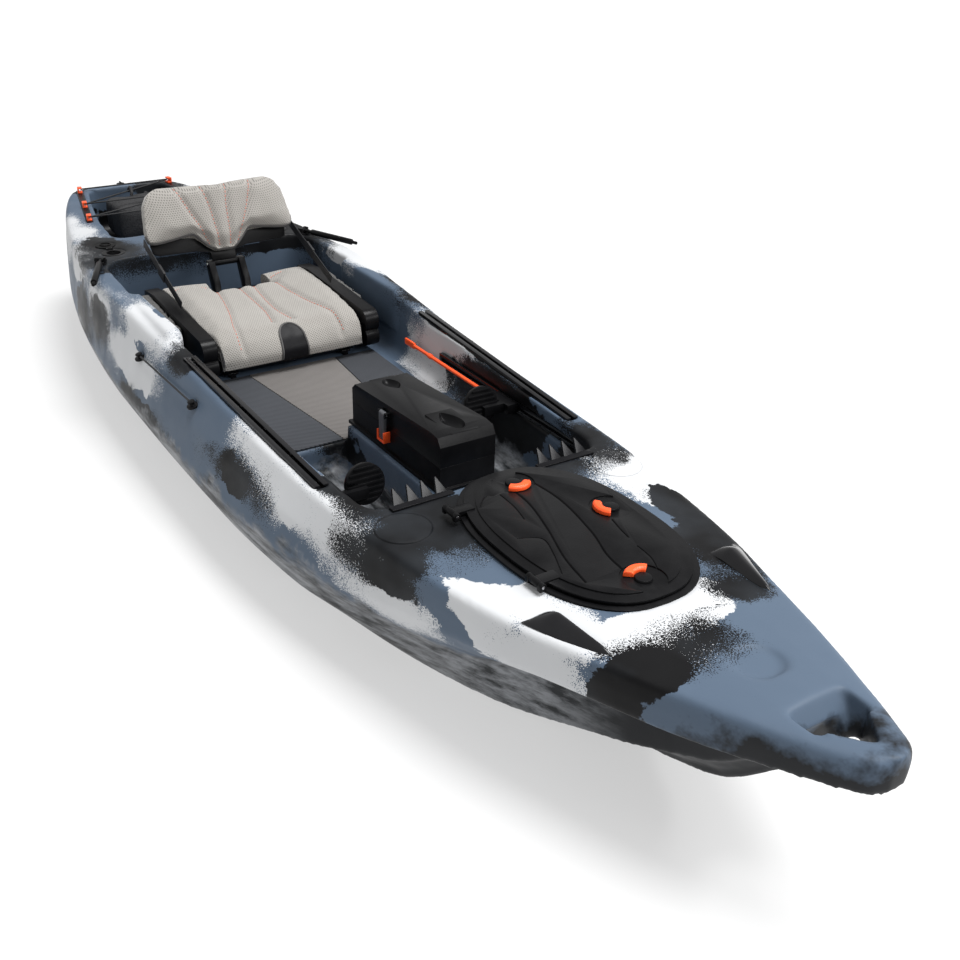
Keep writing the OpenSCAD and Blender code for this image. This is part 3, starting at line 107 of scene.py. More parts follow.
class Nodes:
    """Short names for adding and joining the nodes of one material."""

    def __init__(self, made):
        self.tree = made.node_tree
        self.shader = self.tree.nodes["Principled BSDF"]

    def add(self, kind, inputs=None, **settings):
        node = self.tree.nodes.new(kind)
        for key, value in settings.items():
            setattr(node, key, value)
        for key, value in (inputs or {}).items():
            if isinstance(value, bpy.types.NodeSocket):
                self.tree.links.new(value, node.inputs[key])
            else:
                node.inputs[key].default_value = value
        return node

    def place(self):
        return self.add("ShaderNodeTexCoord").outputs["Object"]

    def noise(self, vector, scale, detail=3.0, rough=0.5):
        inputs = {"Vector": vector, "Scale": scale, "Detail": detail, "Roughness": rough}
        return self.add("ShaderNodeTexNoise", inputs).outputs["Fac"]

    def cells(self, vector, scale):
        """The distance from the middle of each of many small cells."""
        return self.add("ShaderNodeTexVoronoi", {"Vector": vector, "Scale": scale}).outputs["Distance"]

    def axes(self, vector):
        return self.add("ShaderNodeSeparateXYZ", {0: vector}).outputs

    def stretch(self, vector, scale=(1, 1, 1), turn=(0, 0, 0)):
        inputs = {"Vector": vector, "Scale": scale, "Rotation": turn}
        return self.add("ShaderNodeMapping", inputs).outputs["Vector"]

    def math(self, operation, a, b=0.0, c=0.0):
        return self.add("ShaderNodeMath", {0: a, 1: b, 2: c}, operation=operation).outputs[0]

    def ramp(self, value, low, high):
        """0 below low, 1 above high."""
        return self.add("ShaderNodeMapRange", {"Value": value, "From Min": low, "From Max": high}).outputs[0]

    def mix(self, share, a, b):
        node = self.add("ShaderNodeMix", data_type="RGBA")
        for key, value in ((0, share), (6, a), (7, b)):
            if isinstance(value, bpy.types.NodeSocket):
                self.tree.links.new(value, node.inputs[key])
            else:
                node.inputs[key].default_value = value if key == 0 else (*value, 1)
        return node.outputs[2]

    def colour(self, value):
        self.tree.links.new(value, self.shader.inputs["Base Color"])

    def roughness(self, value):
        self.tree.links.new(value, self.shader.inputs["Roughness"])

    def bump(self, height, strength, distance, under=None):
        inputs = {"Height": height, "Strength": strength, "Distance": distance}
        if under is not None:
            inputs["Normal"] = under
        normal = self.add("ShaderNodeBump", inputs).outputs[0]
        self.tree.links.new(normal, self.shader.inputs["Normal"])
        return normal


def fit(piece, body, slot_name, made, *stands_for):
    """The last step of each piece: its finish, its body and what it stands for."""
    piece.data.materials.clear()
    piece.data.materials.append(made)
    if body:
        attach(piece, body)
    if stands_for:
        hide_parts(*stands_for)
    return piece


def tube(name, points, width, sides=12):
    """A curve with a round section through the points."""
    curve = bpy.data.curves.new(name, "CURVE")
    curve.dimensions = "3D"
    curve.bevel_depth = width / 2
    curve.bevel_resolution = sides // 4
    curve.use_fill_caps = True
    curve.resolution_u = 6
    spline = curve.splines.new("POLY")
    spline.points.add(len(points) - 1)
    for point, place in zip(spline.points, points):
        point.co = (*place, 1)
    piece = bpy.data.objects.new(name, curve)
    bpy.context.collection.objects.link(piece)
    return piece


shock_cord = material("shock_cord", (0.012, 0.012, 0.013), 0.75)
n = Nodes(shock_cord)
braid = n.cells(n.place(), 900.0)
n.colour(n.mix(n.ramp(braid, 0.1, 0.6), (0.03, 0.03, 0.032), (0.008, 0.008, 0.009)))
n.bump(braid, 0.6, 0.0004)

bar_rear, bar_front = Vector((-1.700, 0.152, 0.39415)), Vector((-1.300, 0.2327, 0.39001))
hook_shares = (-0.42, 0.05, 0.44)
cord_rise = 0.011


def on_bar(side, share):
    """The throat of a hook, at a share of the lashing bar's length."""
    p = bar_rear.lerp(bar_front, share + 0.5)
    return Vector((p.x, side * (p.y - 0.003), p.z + cord_rise))


hooked = [on_bar(side, share) for share in hook_shares for side in (-1, 1)]
stern_route = []
for start, end in zip(hooked, hooked[1:]):
    stern_route += [start.lerp(end, k / 6) for k in range(6)]
stern_route.append(hooked[-1])
stern_cord = tube("stern_cord_braided", stern_route, cord_width)
fit(stern_cord, "hull", "shock_cord", shock_cord, "stern_cord")

for side, tag in SIDES:
    low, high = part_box(f"paddle_cord_{tag}")
    outer, inner = (high.y, low.y) if side > 0 else (low.y, high.y)
    half = cord_width / 2
    start = Vector((low.x, outer - side * half, (low.z + high.z) / 2))
    end = Vector((high.x, inner + side * half, (low.z + high.z) / 2))
    route = [start.lerp(end, k / 16) for k in range(17)]
    keeper = tube(f"paddle_cord_{tag}_braided", route, cord_width)
    fit(keeper, "hull", "shock_cord", shock_cord, f"paddle_cord_{tag}")


# ---------------------------------------------------------------- hull
# One shell of polyethylene, moulded in a turning oven with all its wells and
# grooves, so that every edge is round. Blue-grey, white and charcoal powders
# are thrown into the mould, and run into each other with speckled edges.
bow = 1.7525
gunwale = 0.060
floor_z, footwell_z, ridge_z, tank_z = 0.208, 0.140, 0.262, 0.250
cockpit_front, cockpit_rear, footwell_rear = 0.708, -0.880, 0.190
hull_grain = 0.0058  # the smallest detail that the moulding keeps
hull_triangles = 190000
below_all, above_all = -0.1, 0.6  # where cutters that go right through begin and end
boss_x, boss_y, boss_radius = 0.79, 0.262, 0.056

# Station and value along the hull, both in metres
SHEER = [(-1.7525, 0.374), (-1.69, 0.392), (-1.45, 0.388), (-1.0, 0.386), (-0.65, 0.386), (-0.35, 0.370),
         (0, 0.347), (0.3, 0.331), (0.56, 0.323), (0.9, 0.322), (1.25, 0.332), (1.55, 0.348),
         (1.7525, 0.360)]
DECK = [(-1.7525, 0.088), (-1.738, 0.134), (-1.7, 0.176), (-1.6, 0.222), (-1.45, 0.268), (-1.2, 0.325),
        (-0.9, 0.370), (-0.65, 0.386), (-0.35, 0.374), (0, 0.363), (0.4, 0.358), (0.7, 0.343),
        (0.95, 0.308), (1.132, 0.270), (1.3, 0.217), (1.457, 0.163), (1.6, 0.106), (1.7, 0.062),
        (1.738, 0.040), (1.7525, 0.014)]
WIDEST = [(-1.7525, 0.092), (-1.738, 0.140), (-1.7, 0.184), (-1.6, 0.234), (-1.45, 0.284), (-1.2, 0.346),
          (-0.9, 0.395), (-0.5, 0.426), (-0.1, 0.432), (0.2, 0.430), (0.45, 0.414), (0.7, 0.375),
          (0.95, 0.318), (1.132, 0.276), (1.3, 0.222), (1.457, 0.168), (1.6, 0.110), (1.7, 0.065),
          (1.738, 0.042), (1.7525, 0.016)]
WIDEST_Z = [(-1.7525, 0.280), (-1.5, 0.215), (-1.0, 0.180), (0, 0.172), (0.5, 0.185), (0.9, 0.225),
            (1.2, 0.258), (1.5, 0.278), (1.7525, 0.306)]
KEEL = [(-1.7525, 0.200), (-1.715, 0.120), (-1.6, 0.050), (-1.4, 0.010), (-1.15, 0), (0.75, 0),
        (1.0, 0.008), (1.25, 0.032), (1.435, 0.086), (1.57, 0.206), (1.65, 0.276), (1.7, 0.292),
        (1.7525, 0.302)]
CHINE = [(-1.7525, 0.8), (-1.3, 0.86), (-0.8, 0.9), (0.5, 0.9), (0.9, 0.8), (1.2, 0.58), (1.45, 0.42),
         (1.7525, 0.5)]
CHINE_RISE = [(-1.7525, 0.5), (-0.8, 0.4), (0.5, 0.4), (1.0, 0.58), (1.25, 0.72), (1.7525, 0.7)]
TUNNEL = [(-1.7525, 0), (-1.4, 0.008), (-1.0, 0.026), (0.5, 0.026), (0.9, 0.020), (1.15, 0.008), (1.4, 0),
          (1.7525, 0)]
RUNNER = [(-1.7525, 0.006), (-1.4, 0.004), (-1.15, 0), (0.75, 0), (1.0, 0.008), (1.25, 0.040),
          (1.435, 0.055), (1.7525, 0.004)]


def deselect():
    if bpy.context.object and bpy.context.object.mode != "OBJECT":
        bpy.ops.object.mode_set(mode="OBJECT")
    bpy.ops.object.select_all(action="DESELECT")


def select_only(piece):
    deselect()
    piece.select_set(True)
    bpy.context.view_layer.objects.active = piece


def apply_modifier(piece, kind, **settings):
    modifier = piece.modifiers.new(kind.title(), kind)
    for key, value in settings.items():
        setattr(modifier, key, value)
    select_only(piece)
    bpy.ops.object.modifier_apply(modifier=modifier.name)


def mesh_of(name, points, faces):
    mesh = bpy.data.meshes.new(name)
    mesh.from_pydata([tuple(p) for p in points], [], faces)
    piece = bpy.data.objects.new(name, mesh)
    bpy.context.collection.objects.link(piece)
    return piece


def edited(piece, *steps):
    """Runs each step on the whole of a piece in edit mode."""
    select_only(piece)
    bpy.ops.object.mode_set(mode="EDIT")
    bpy.ops.mesh.select_all(action="SELECT")
    for step in steps:
        step()
    bpy.ops.object.mode_set(mode="OBJECT")
    return piece


def merge_doubles():
    bpy.ops.mesh.remove_doubles(threshold=0.00001)


def face_outwards():
    bpy.ops.mesh.normals_make_consistent(inside=False)


def smoothed(piece, degrees=None):
    """Shades a piece smooth, or only where its faces meet at less than an angle."""
    select_only(piece)
    if degrees is None:
        bpy.ops.object.shade_smooth()
    else:
        bpy.ops.object.shade_smooth_by_angle(angle=math.radians(degrees))


def points_of(mesh, what="co"):
    """The place, or the normal, of every vertex of a mesh."""
    values = np.empty(len(mesh.vertices) * 3)
    mesh.vertices.foreach_get(what, values)
    return values.reshape(-1, 3)


def move_points(piece, points):
    piece.data.vertices.foreach_set("co", points.ravel())
    piece.data.update()


def grade(table, i):
    return (table[i + 1][1] - table[i][1]) / (table[i + 1][0] - table[i][0])


def slope(table, i):
    if i == 0:
        return grade(table, 0)
    if i == len(table) - 1:
        return grade(table, i - 1)
    before, after = grade(table, i - 1), grade(table, i)
    return 0 if before * after <= 0 else 2 * before * after / (before + after)


def curve(x, table):
    """A smooth curve through a table's points, which never overshoots them."""
    i = 0
    while i < len(table) - 2 and x >= table[i + 1][0]:
        i += 1
    step, rise = table[i + 1][0] - table[i][0], table[i + 1][1] - table[i][1]
    u, m, n = (x - table[i][0]) / step, slope(table, i) * step, slope(table, i + 1) * step
    return table[i][1] + u * (m + u * (3 * rise - 2 * m - n + u * (m + n - 2 * rise)))


def between(a, b, share):
    return a + (b - a) * share


def sheer(x):
    return curve(x, SHEER)


def deck_half(x):
    return curve(x, DECK)


def wall_half(x):
    return deck_half(x) - gunwale


def half_section(x, wall=0.0):
    """Half of one section, from the keel up to the middle of the deck."""
    keel, edge_z = curve(x, KEEL) + wall, sheer(x) - wall
    edge, wide, wide_z = deck_half(x) - wall, curve(x, WIDEST) - wall, curve(x, WIDEST_Z)
    chine = wide * curve(x, CHINE)
    chine_z = between(keel, wide_z, curve(x, CHINE_RISE))
    runner, runner_z = chine * 0.72, keel + curve(x, RUNNER)
    tunnel_z = keel + curve(x, TUNNEL)
    return [
        (0, keel),
        (min(0.028, chine * 0.22), keel),
        (runner * 0.4, max(tunnel_z, between(keel, runner_z, 0.4))),
        (runner * 0.68, max(tunnel_z, between(keel, runner_z, 0.7))),
        (runner * 0.86, runner_z),
        (runner * 1.1, runner_z),
        (chine, chine_z),
        (between(chine, wide, 0.72), between(chine_z, wide_z, 0.55)),
        (wide, wide_z - 0.006),
        (wide, wide_z + 0.006),
        (between(wide, edge, 0.45) + 0.003, between(wide_z, edge_z, 0.5)),
        (between(wide, edge, 0.92) + 0.003, edge_z - 0.020),
        (edge, edge_z - 0.005),
        (edge - min(0.008, edge * 0.3), edge_z),
        (edge * 0.85, edge_z + 0.0016),
        (edge * 0.5, edge_z + 0.0064),
        (0, edge_z + 0.008),
    ]


def skin(name, wall, start, end, steps):
    rings, points, faces = [], [], []
    for i in range(steps + 1):
        x = between(start, end, 0.5 - 0.5 * math.cos(math.pi * i / steps))
        half = half_section(x, wall)
        rings.append([(x, y, z) for y, z in half] + [(x, -y, z) for y, z in half[-2:0:-1]])
    count = len(rings[0])
    for ring in rings:
        points += ring
    for i in range(steps):
        for k in range(count):
            a, b = i * count + k, i * count + (k + 1) % count
            faces.append((a, b, b + count, a + count))
    faces += [tuple(range(count))[::-1], tuple(steps * count + k for k in range(count))]
    return edited(mesh_of(name, points, faces), face_outwards)


def hull_of(points):
    """The closed solid that stretches round the points."""
    return edited(mesh_of("cutter", points, []), bpy.ops.mesh.convex_hull, face_outwards)


def circle(x, y, z, radius, count=24):
    return [
        (x + radius * math.cos(math.tau * k / count), y + radius * math.sin(math.tau * k / count), z)
        for k in range(count)
    ]


def inset(points, by):
    """A convex outline, moved inwards all round."""
    area = sum(a[0] * b[1] - b[0] * a[1] for a, b in zip(points, points[1:] + points[:1]))
    turn = 1 if area > 0 else -1
    lines = []
    for a, b in zip(points, points[1:] + points[:1]):
        d = Vector((b[0] - a[0], b[1] - a[1])).normalized()
        normal = Vector((-d.y, d.x)) * turn
        lines.append((Vector(a) + normal * by, d))
    moved = []
    for (p, d), (q, e) in zip([lines[-1]] + lines[:-1], lines):
        cross = d.x * e.y - d.y * e.x
        if abs(cross) < 1e-6:
            moved.append(q)
        else:
            t = ((q - p).x * e.y - (q - p).y * e.x) / cross
            moved.append(p + d * t)
    return moved


def mirrored(points):
    return points + [(x, -y) for x, y in reversed(points)]


def basin(outline, floor, corner, flare, fillet=0.030):
    """A well with round corners, a rounded foot and sides that open upwards."""
    core = inset(outline, corner)
    points = []
    for k in range(5):
        a = math.radians(22.5 * k)
        radius = corner - fillet * (1 - math.sin(a))
        for x, y in core:
            points += circle(x, y, floor + fillet * (1 - math.cos(a)), max(radius, 0.003))
    for x, y in core:
        points += circle(x, y, above_all, corner + flare)
    return hull_of(points)


def oval(length, width, power=2.4, count=96):
    ring = []
    for k in range(count):
        c, s = math.cos(math.tau * k / count), math.sin(math.tau * k / count)
        ring.append(
            (length / 2 * math.copysign(abs(c) ** (2 / power), c),
             width / 2 * math.copysign(abs(s) ** (2 / power), s))
        )
    return ring


def drum(centre, radius, low, high, top_radius=None):
    x, y = centre
    return hull_of(circle(x, y, low, radius, 32) + circle(x, y, high, top_radius or radius, 32))


def prism(outline, low, high):
    return hull_of([(x, y, low) for x, y in outline] + [(x, y, high) for x, y in outline])


def brick(low, high):
    return hull_of([(x, y, z) for x, y, z in itertools.product(*zip(low, high))])


def turned(piece, place, turns=()):
    """Puts a piece that was made round the origin in its place."""
    matrix = Matrix.Translation(place)
    for angle, axis in turns:
        matrix = matrix @ Matrix.Rotation(angle, 4, axis)
    piece.data.transform(matrix)
    return piece


def carve(target, tool, operation="DIFFERENCE"):
    modifier = target.modifiers.new("carve", "BOOLEAN")
    modifier.operation = operation
    modifier.object = tool
    modifier.solver = "MANIFOLD"
    select_only(target)
    bpy.ops.object.modifier_apply(modifier=modifier.name)
    bpy.data.objects.remove(tool)


hull = skin("hull_moulded", 0.0, -bow, bow, 240)
hatch_x, hatch_deck = 0.984, 0.333
hatch_plinth, hatch_seat, hatch_mouth = (0.544, 0.350), (0.558, 0.364), (0.488, 0.294)


def on_hatch(ring):
    return [(hatch_x + x, y) for x, y in ring]


carve(hull, prism(on_hatch(oval(*hatch_plinth)), hatch_deck - 0.04, hatch_deck), "UNION")
carve(hull, prism(on_hatch(oval(*hatch_seat)), hatch_deck, above_all))
# Two low round bosses on the fore deck
for side in (1, -1):
    boss_z = sheer(boss_x) + 0.0015
    boss = drum((boss_x, side * boss_y), boss_radius, boss_z - 0.03, boss_z + 0.0045, boss_radius - 0.004)
    carve(hull, boss, "UNION")

stations = [between(cockpit_rear, cockpit_front, k / 5) for k in range(6)]
carve(hull, basin(mirrored([(x, wall_half(x)) for x in stations]), ridge_z, 0.070, 0.026, 0.026))
rear_stations = (cockpit_rear, -0.6, -0.3, footwell_rear + 0.022)
carve(hull, basin(mirrored([(x, wall_half(x) - 0.002) for x in rear_stations]), floor_z, 0.060, 0.024, 0.026))
inner = 0.092
for side in (1, -1):
    well = [
        (footwell_rear, inner), (cockpit_front - 0.012, inner),
        (cockpit_front - 0.012, wall_half(cockpit_front) - 0.010),
        (0.5, wall_half(0.5) - 0.006), (footwell_rear, wall_half(footwell_rear) - 0.006),
    ]
    carve(hull, basin([(x, side * y) for x, y in well], footwell_z, 0.034, 0.016, 0.030))
tank = [(-1.668, 0.070), (-1.5, 0.092), (-1.3, 0.106), (-1.09, 0.128)]
carve(hull, basin(mirrored([(x, deck_half(x) - by) for x, by in tank]), tank_z, 0.044, 0.014, 0.034))

# Blocks beside the seat, with round shoulders
for side in (1, -1):
    block = []
    for x0, x1, y0, y1, z in (
        (-0.600, -0.250, wall_half(-0.4) - 0.008, deck_half(-0.4) - 0.020, floor_z + 0.06),
        (-0.600, -0.250, wall_half(-0.4) - 0.008, deck_half(-0.4) - 0.020, sheer(-0.4) - 0.006),
        (-0.592, -0.258, wall_half(-0.4) - 0.006, deck_half(-0.4) - 0.028, sheer(-0.4) + 0.008),
        (-0.578, -0.274, wall_half(-0.4) + 0.002, deck_half(-0.4) - 0.042, sheer(-0.4) + 0.013),
    ):
        for x in (x0 + 0.012, x1 - 0.012):
            for y in (y0 + 0.012, y1 - 0.012):
                block += circle(x, side * y, z, 0.012, 12)
    carve(hull, hull_of(block), "UNION")

# Carrying hole through the bow, the pocket behind it and the round recess
hole_front = bow - 0.040
hole_half = deck_half(hole_front - 0.062) - 0.038
hole = [p for y in (-hole_half, hole_half) for p in circle(hole_front - 0.078, y, below_all, 0.009)]
hole += circle(hole_front - 0.016, 0, below_all, 0.009)
carve(hull, hull_of(hole + [(x, y, above_all) for x, y, z in hole]))
pocket = []
for y in (-hole_half, hole_half):
    for z in (sheer(bow - 0.12) - 0.054, above_all):
        pocket += circle(hole_front - 0.074, y, z, 0.012)
        pocket += circle(hole_front - 0.122, y * 1.15, max(z, sheer(bow - 0.16) + 0.008), 0.008)
carve(hull, hull_of(pocket))
under = [(hole_front - 0.112, hole_half * 0.9), (hole_front - 0.030, hole_half * 0.62)]
carve(hull, hull_of([(x, y, z) for x, y in mirrored(under) for z in (0.1, 0.320 + (x - 1.6) * 0.06)]))
recess_z = sheer(bow - 0.285) + 0.008
carve(hull, drum((bow - 0.285, 0), 0.046, recess_z - 0.008, above_all, 0.056))

# Scuppers, and the slot for the keel wheel
scupper_radius = 0.017
for x, y in ((-1.150, 0.110), (-0.830, 0.120), (0.250, 0.190), (0.528, 0.190)):
    for side in (1, -1):
        carve(hull, drum((x, side * y), scupper_radius, below_all, above_all))
wheel_at = (-1.4905, 0, 0.049)
slot_radius = 0.054
slot = [(x, z) for x, z, _ in circle(wheel_at[0], wheel_at[2], 0, slot_radius, 48)]
slot += [(wheel_at[0] - slot_radius, below_all), (wheel_at[0] + slot_radius, below_all)]
carve(hull, hull_of([(x, y, z) for x, z in slot for y in (-0.034, 0.034)]))
axle_hole = hull_of(circle(0, 0, -0.048, 0.0072) + circle(0, 0, 0.048, 0.0072))
carve(hull, turned(axle_hole, wheel_at, [(math.pi / 2, "X")]))

# Grooves for the gear tracks and the lashing bars
def along_line(start, end, side):
    """The place and turn of a straight fitting between two points of the deck."""
    start, end = (Vector((p[0], side * p[1], p[2])) for p in (start, end))
    d = (end - start).normalized()
    y = Vector((0, 0, 1)).cross(d).normalized()
    return Matrix.Translation((start + end) / 2) @ Matrix((d, y, d.cross(y))).transposed().to_4x4()


track_half = 0.352
track_ends = ((-0.147, 0.3358, 0.3596), (0.557, 0.3211, 0.3260))
for side in (1, -1):
    groove = brick((-track_half - 0.001, -0.017, -0.014), (track_half + 0.001, 0.017, 0.06))
    groove.data.transform(along_line(*track_ends, side))
    carve(hull, groove)
    groove = brick((-0.201, -0.012, -0.006), (0.201, 0.012, 0.06))
    groove.data.transform(along_line(bar_rear, bar_front, side))
    carve(hull, groove)

# Seats of the foot brace rails, rod holders, caps, eyes, hoods, combs and handles
for side, tag in SIDES:
    low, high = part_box(f"brace_rail_{tag}")
    reach = [side * 0.223, side * (max(abs(low.y), abs(high.y)))]
    corners = (low.x - 0.001, min(reach), low.z - 0.001), (high.x + 0.001, max(reach), high.z + 0.001)
    carve(hull, brick(*corners))
holder_at, holder_lean = (-0.962, 0.26337, 0.388), math.radians(12)
for side in (1, -1):
    place = (holder_at[0], side * holder_at[1], holder_at[2])
    carve(hull, turned(drum((0, 0), 0.025, -0.196, 0.02), place, [(-holder_lean, "Y")]))
    carve(hull, turned(drum((0, 0), 0.036, -0.004, 0.05), place))
    carve(hull, turned(drum((-0.082, 0), 0.032, -0.005, 0.05), place))
    carve(hull, turned(brick((-0.082, -0.014, -0.005), (-0.020, 0.014, 0.05)), place))
for side, tag in SIDES:
    low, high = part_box(f"bow_hood_{tag}")
    outer = side * max(abs(low.y), abs(high.y))
    outline = [(low.x, side * 0.182), (low.x + 0.012, outer), (high.x, side * 0.174)]
    carve(hull, prism(inset(outline, -0.001), low.z, above_all))
for side in (1, -1):
    low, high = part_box("lure_combs")
    ys = (side * 0.105, side * (high.y + 0.001))
    carve(hull, brick((0.664, min(ys), low.z), (high.x + 0.001, max(ys), above_all)))
handle_at, handle_turn = (-0.885, 0.32536, 0.388), math.radians(22)
eye_z, eye_tilt = 0.300, math.atan2(0.0815, 0.028) - math.pi / 2
for side in (1, -1):
    place = (handle_at[0], side * handle_at[1], handle_at[2])
    turns = [(side * handle_turn, "Z")]
    carve(hull, turned(brick((-0.016, -0.017, -0.006), (0.016, 0.017, 0.05)), place, turns))
    carve(hull, turned(brick((0, -0.013, -0.006), (0.233, 0.013, 0.05)), place, turns))
    for x in (-0.340, 0.005):
        section = half_section(x)
        upper, lower = section[10], section[9]
        y = between(upper[0], lower[0], (eye_z - upper[1]) / (lower[1] - upper[1]))
        seat = turned(drum((0, 0), 0.016, -0.003, 0.03), (x, side * y, eye_z), [(side * eye_tilt, "X")])
        carve(hull, seat)
# The seat of the drain plug
carve(hull, drum((-1.7165, 0), 0.015, 0.3919, 0.45))

# The mouth of the hatch and the hold under it
carve(hull, prism(on_hatch(oval(*hatch_mouth)), hatch_deck - 0.05, above_all))
carve(hull, skin("hold", 0.014, 0.735, 1.33, 40))

apply_modifier(hull, "REMESH", mode="VOXEL", voxel_size=hull_grain, use_smooth_shade=True)
apply_modifier(hull, "SMOOTH", factor=0.5, iterations=7)
hull.data.calc_loop_triangles()
apply_modifier(hull, "DECIMATE", ratio=min(1, hull_triangles / len(hull.data.loop_triangles)))
smoothed(hull)

# Where the white and the dark powders lie: a middle, and a reach along each axis
WHITE = [
    (1.08, -0.27, 0.33, 0.11, 0.05, 0.06), (1.20, -0.20, 0.34, 0.13, 0.07, 0.06),
    (1.31, -0.10, 0.34, 0.07, 0.12, 0.05), (1.27, 0.03, 0.34, 0.07, 0.10, 0.05),
    (1.18, -0.23, 0.27, 0.17, 0.07, 0.06), (0.84, 0.27, 0.33, 0.14, 0.08, 0.05),
    (0.93, 0.30, 0.30, 0.12, 0.06, 0.05), (0.33, -0.35, 0.31, 0.12, 0.05, 0.05),
    (0.50, -0.37, 0.30, 0.15, 0.06, 0.06), (0.68, -0.36, 0.29, 0.15, 0.06, 0.06),
    (-0.38, -0.36, 0.37, 0.16, 0.08, 0.05), (-0.42, -0.42, 0.27, 0.17, 0.07, 0.06),
    (-1.25, -0.30, 0.36, 0.17, 0.06, 0.07), (-1.02, -0.36, 0.36, 0.16, 0.06, 0.05),
    (-0.72, -0.41, 0.33, 0.13, 0.05, 0.05), (-0.05, 0.30, 0.26, 0.15, 0.06, 0.11),
    (0.02, 0.33, 0.35, 0.18, 0.05, 0.04), (0.50, -0.13, 0.26, 0.14, 0.10, 0.07),
    (0.70, -0.20, 0.22, 0.08, 0.10, 0.08), (-0.60, 0.37, 0.37, 0.20, 0.06, 0.05),
    (-1.15, 0.30, 0.37, 0.20, 0.09, 0.06), (-1.55, 0.20, 0.36, 0.12, 0.07, 0.07),
    (0.25, 0.42, 0.25, 0.24, 0.06, 0.08), (-0.45, 0.43, 0.22, 0.22, 0.06, 0.08),
    (0.85, -0.33, 0.22, 0.20, 0.06, 0.05), (-1.40, -0.28, 0.20, 0.14, 0.06, 0.10),
]
DARK = [
    (1.385, -0.12, 0.345, 0.06, 0.10, 0.05), (1.37, -0.02, 0.345, 0.06, 0.06, 0.05),
    (1.345, -0.18, 0.27, 0.055, 0.06, 0.07), (1.02, 0.26, 0.33, 0.13, 0.05, 0.05),
    (1.16, 0.20, 0.33, 0.12, 0.06, 0.05), (1.28, 0.13, 0.33, 0.06, 0.07, 0.05),
    (0.64, -0.28, 0.33, 0.13, 0.06, 0.05), (0.78, -0.22, 0.33, 0.16, 0.12, 0.05),
    (0.84, -0.31, 0.33, 0.11, 0.06, 0.05), (0.66, 0.27, 0.33, 0.13, 0.07, 0.05),
    (0.74, 0.16, 0.33, 0.07, 0.07, 0.05), (0.86, -0.36, 0.28, 0.17, 0.05, 0.04),
    (0.32, -0.43, 0.255, 0.22, 0.05, 0.045), (-0.94, -0.27, 0.385, 0.19, 0.10, 0.05),
    (-0.70, -0.39, 0.29, 0.12, 0.06, 0.07), (-0.90, -0.38, 0.24, 0.14, 0.06, 0.07),
    (-1.70, -0.17, 0.33, 0.06, 0.07, 0.10), (-1.45, -0.27, 0.28, 0.16, 0.05, 0.07),
    (-0.16, -0.34, 0.34, 0.10, 0.05, 0.04), (0.28, 0.31, 0.25, 0.24, 0.06, 0.10),
    (0.62, 0.25, 0.20, 0.12, 0.12, 0.10), (-0.90, 0.28, 0.385, 0.19, 0.10, 0.05),
    (-0.30, 0.37, 0.35, 0.14, 0.05, 0.06), (0.55, 0.39, 0.25, 0.20, 0.07, 0.07),
    (-0.85, 0.39, 0.24, 0.24, 0.07, 0.09), (-1.62, 0.12, 0.38, 0.09, 0.10, 0.05),
    (-1.60, 0.00, 0.26, 0.16, 0.16, 0.06), (0.20, -0.05, 0.21, 0.09, 0.10, 0.05),
    (-0.30, -0.43, 0.16, 0.20, 0.06, 0.05), (1.10, 0.24, 0.24, 0.16, 0.08, 0.06),
]


def patch(points, spots):
    """1 in the middle of a patch, 0 at its edge and less outside it."""
    field = np.full(len(points), -4.0)
    for spot in spots:
        apart = (points - np.array(spot[:3])) / np.array(spot[3:])
        field = np.maximum(field, 1 - np.sqrt((apart**2).sum(1)))
    return field


places = points_of(hull.data)
for name, spots in (("white_powder", WHITE), ("dark_powder", DARK)):
    attribute = hull.data.attributes.new(name, "FLOAT", "POINT")
    attribute.data.foreach_set("value", patch(places, spots).astype(np.float32))

hull_plastic = material("hull_plastic", (0.085, 0.12, 0.17), 0.33, 0.0, 0.14)
n = Nodes(hull_plastic)
place = n.place()


def powder(name, seed):
    """An uneven patch of one colour: crisp in places, sprayed thin in others."""
    field = n.add("ShaderNodeAttribute", attribute_name=name).outputs["Fac"]
    inputs = {0: place, 1: (seed, seed * 2, seed * 3)}
    moved = n.add("ShaderNodeVectorMath", inputs, operation="ADD").outputs[0]
    broad = n.noise(moved, 9.0, 5.0, 0.62)
    field = n.math("ADD", field, n.math("MULTIPLY_ADD", broad, 1.65, -0.825))
    spray = n.ramp(n.noise(moved, 5.0, 1.0), 0.42, 0.62)
    specks = n.noise(moved, 420.0, 1.0)
    specks = n.math("MULTIPLY_ADD", specks, 2.0, -1.0)
    dots = n.math("MULTIPLY", specks, n.math("MULTIPLY_ADD", spray, 1.3, 0.04))
    return n.ramp(n.math("ADD", field, dots), -0.015, 0.02)


forward, outward, height = n.axes(place)
tone = n.noise(place, 3.0, 4.0, 0.6)
base = n.mix(tone, (0.062, 0.088, 0.128), (0.086, 0.118, 0.163))
white = powder("white_powder", 1.3)
dark = powder("dark_powder", 4.1)
soot = n.mix(n.ramp(n.noise(place, 5.0, 3.0), 0.42, 0.62), (0.003, 0.003, 0.0035), (0.014, 0.016, 0.019))
colour = n.mix(white, base, n.mix(tone, (0.46, 0.47, 0.485), (0.58, 0.59, 0.60)))
colour = n.mix(dark, colour, soot)
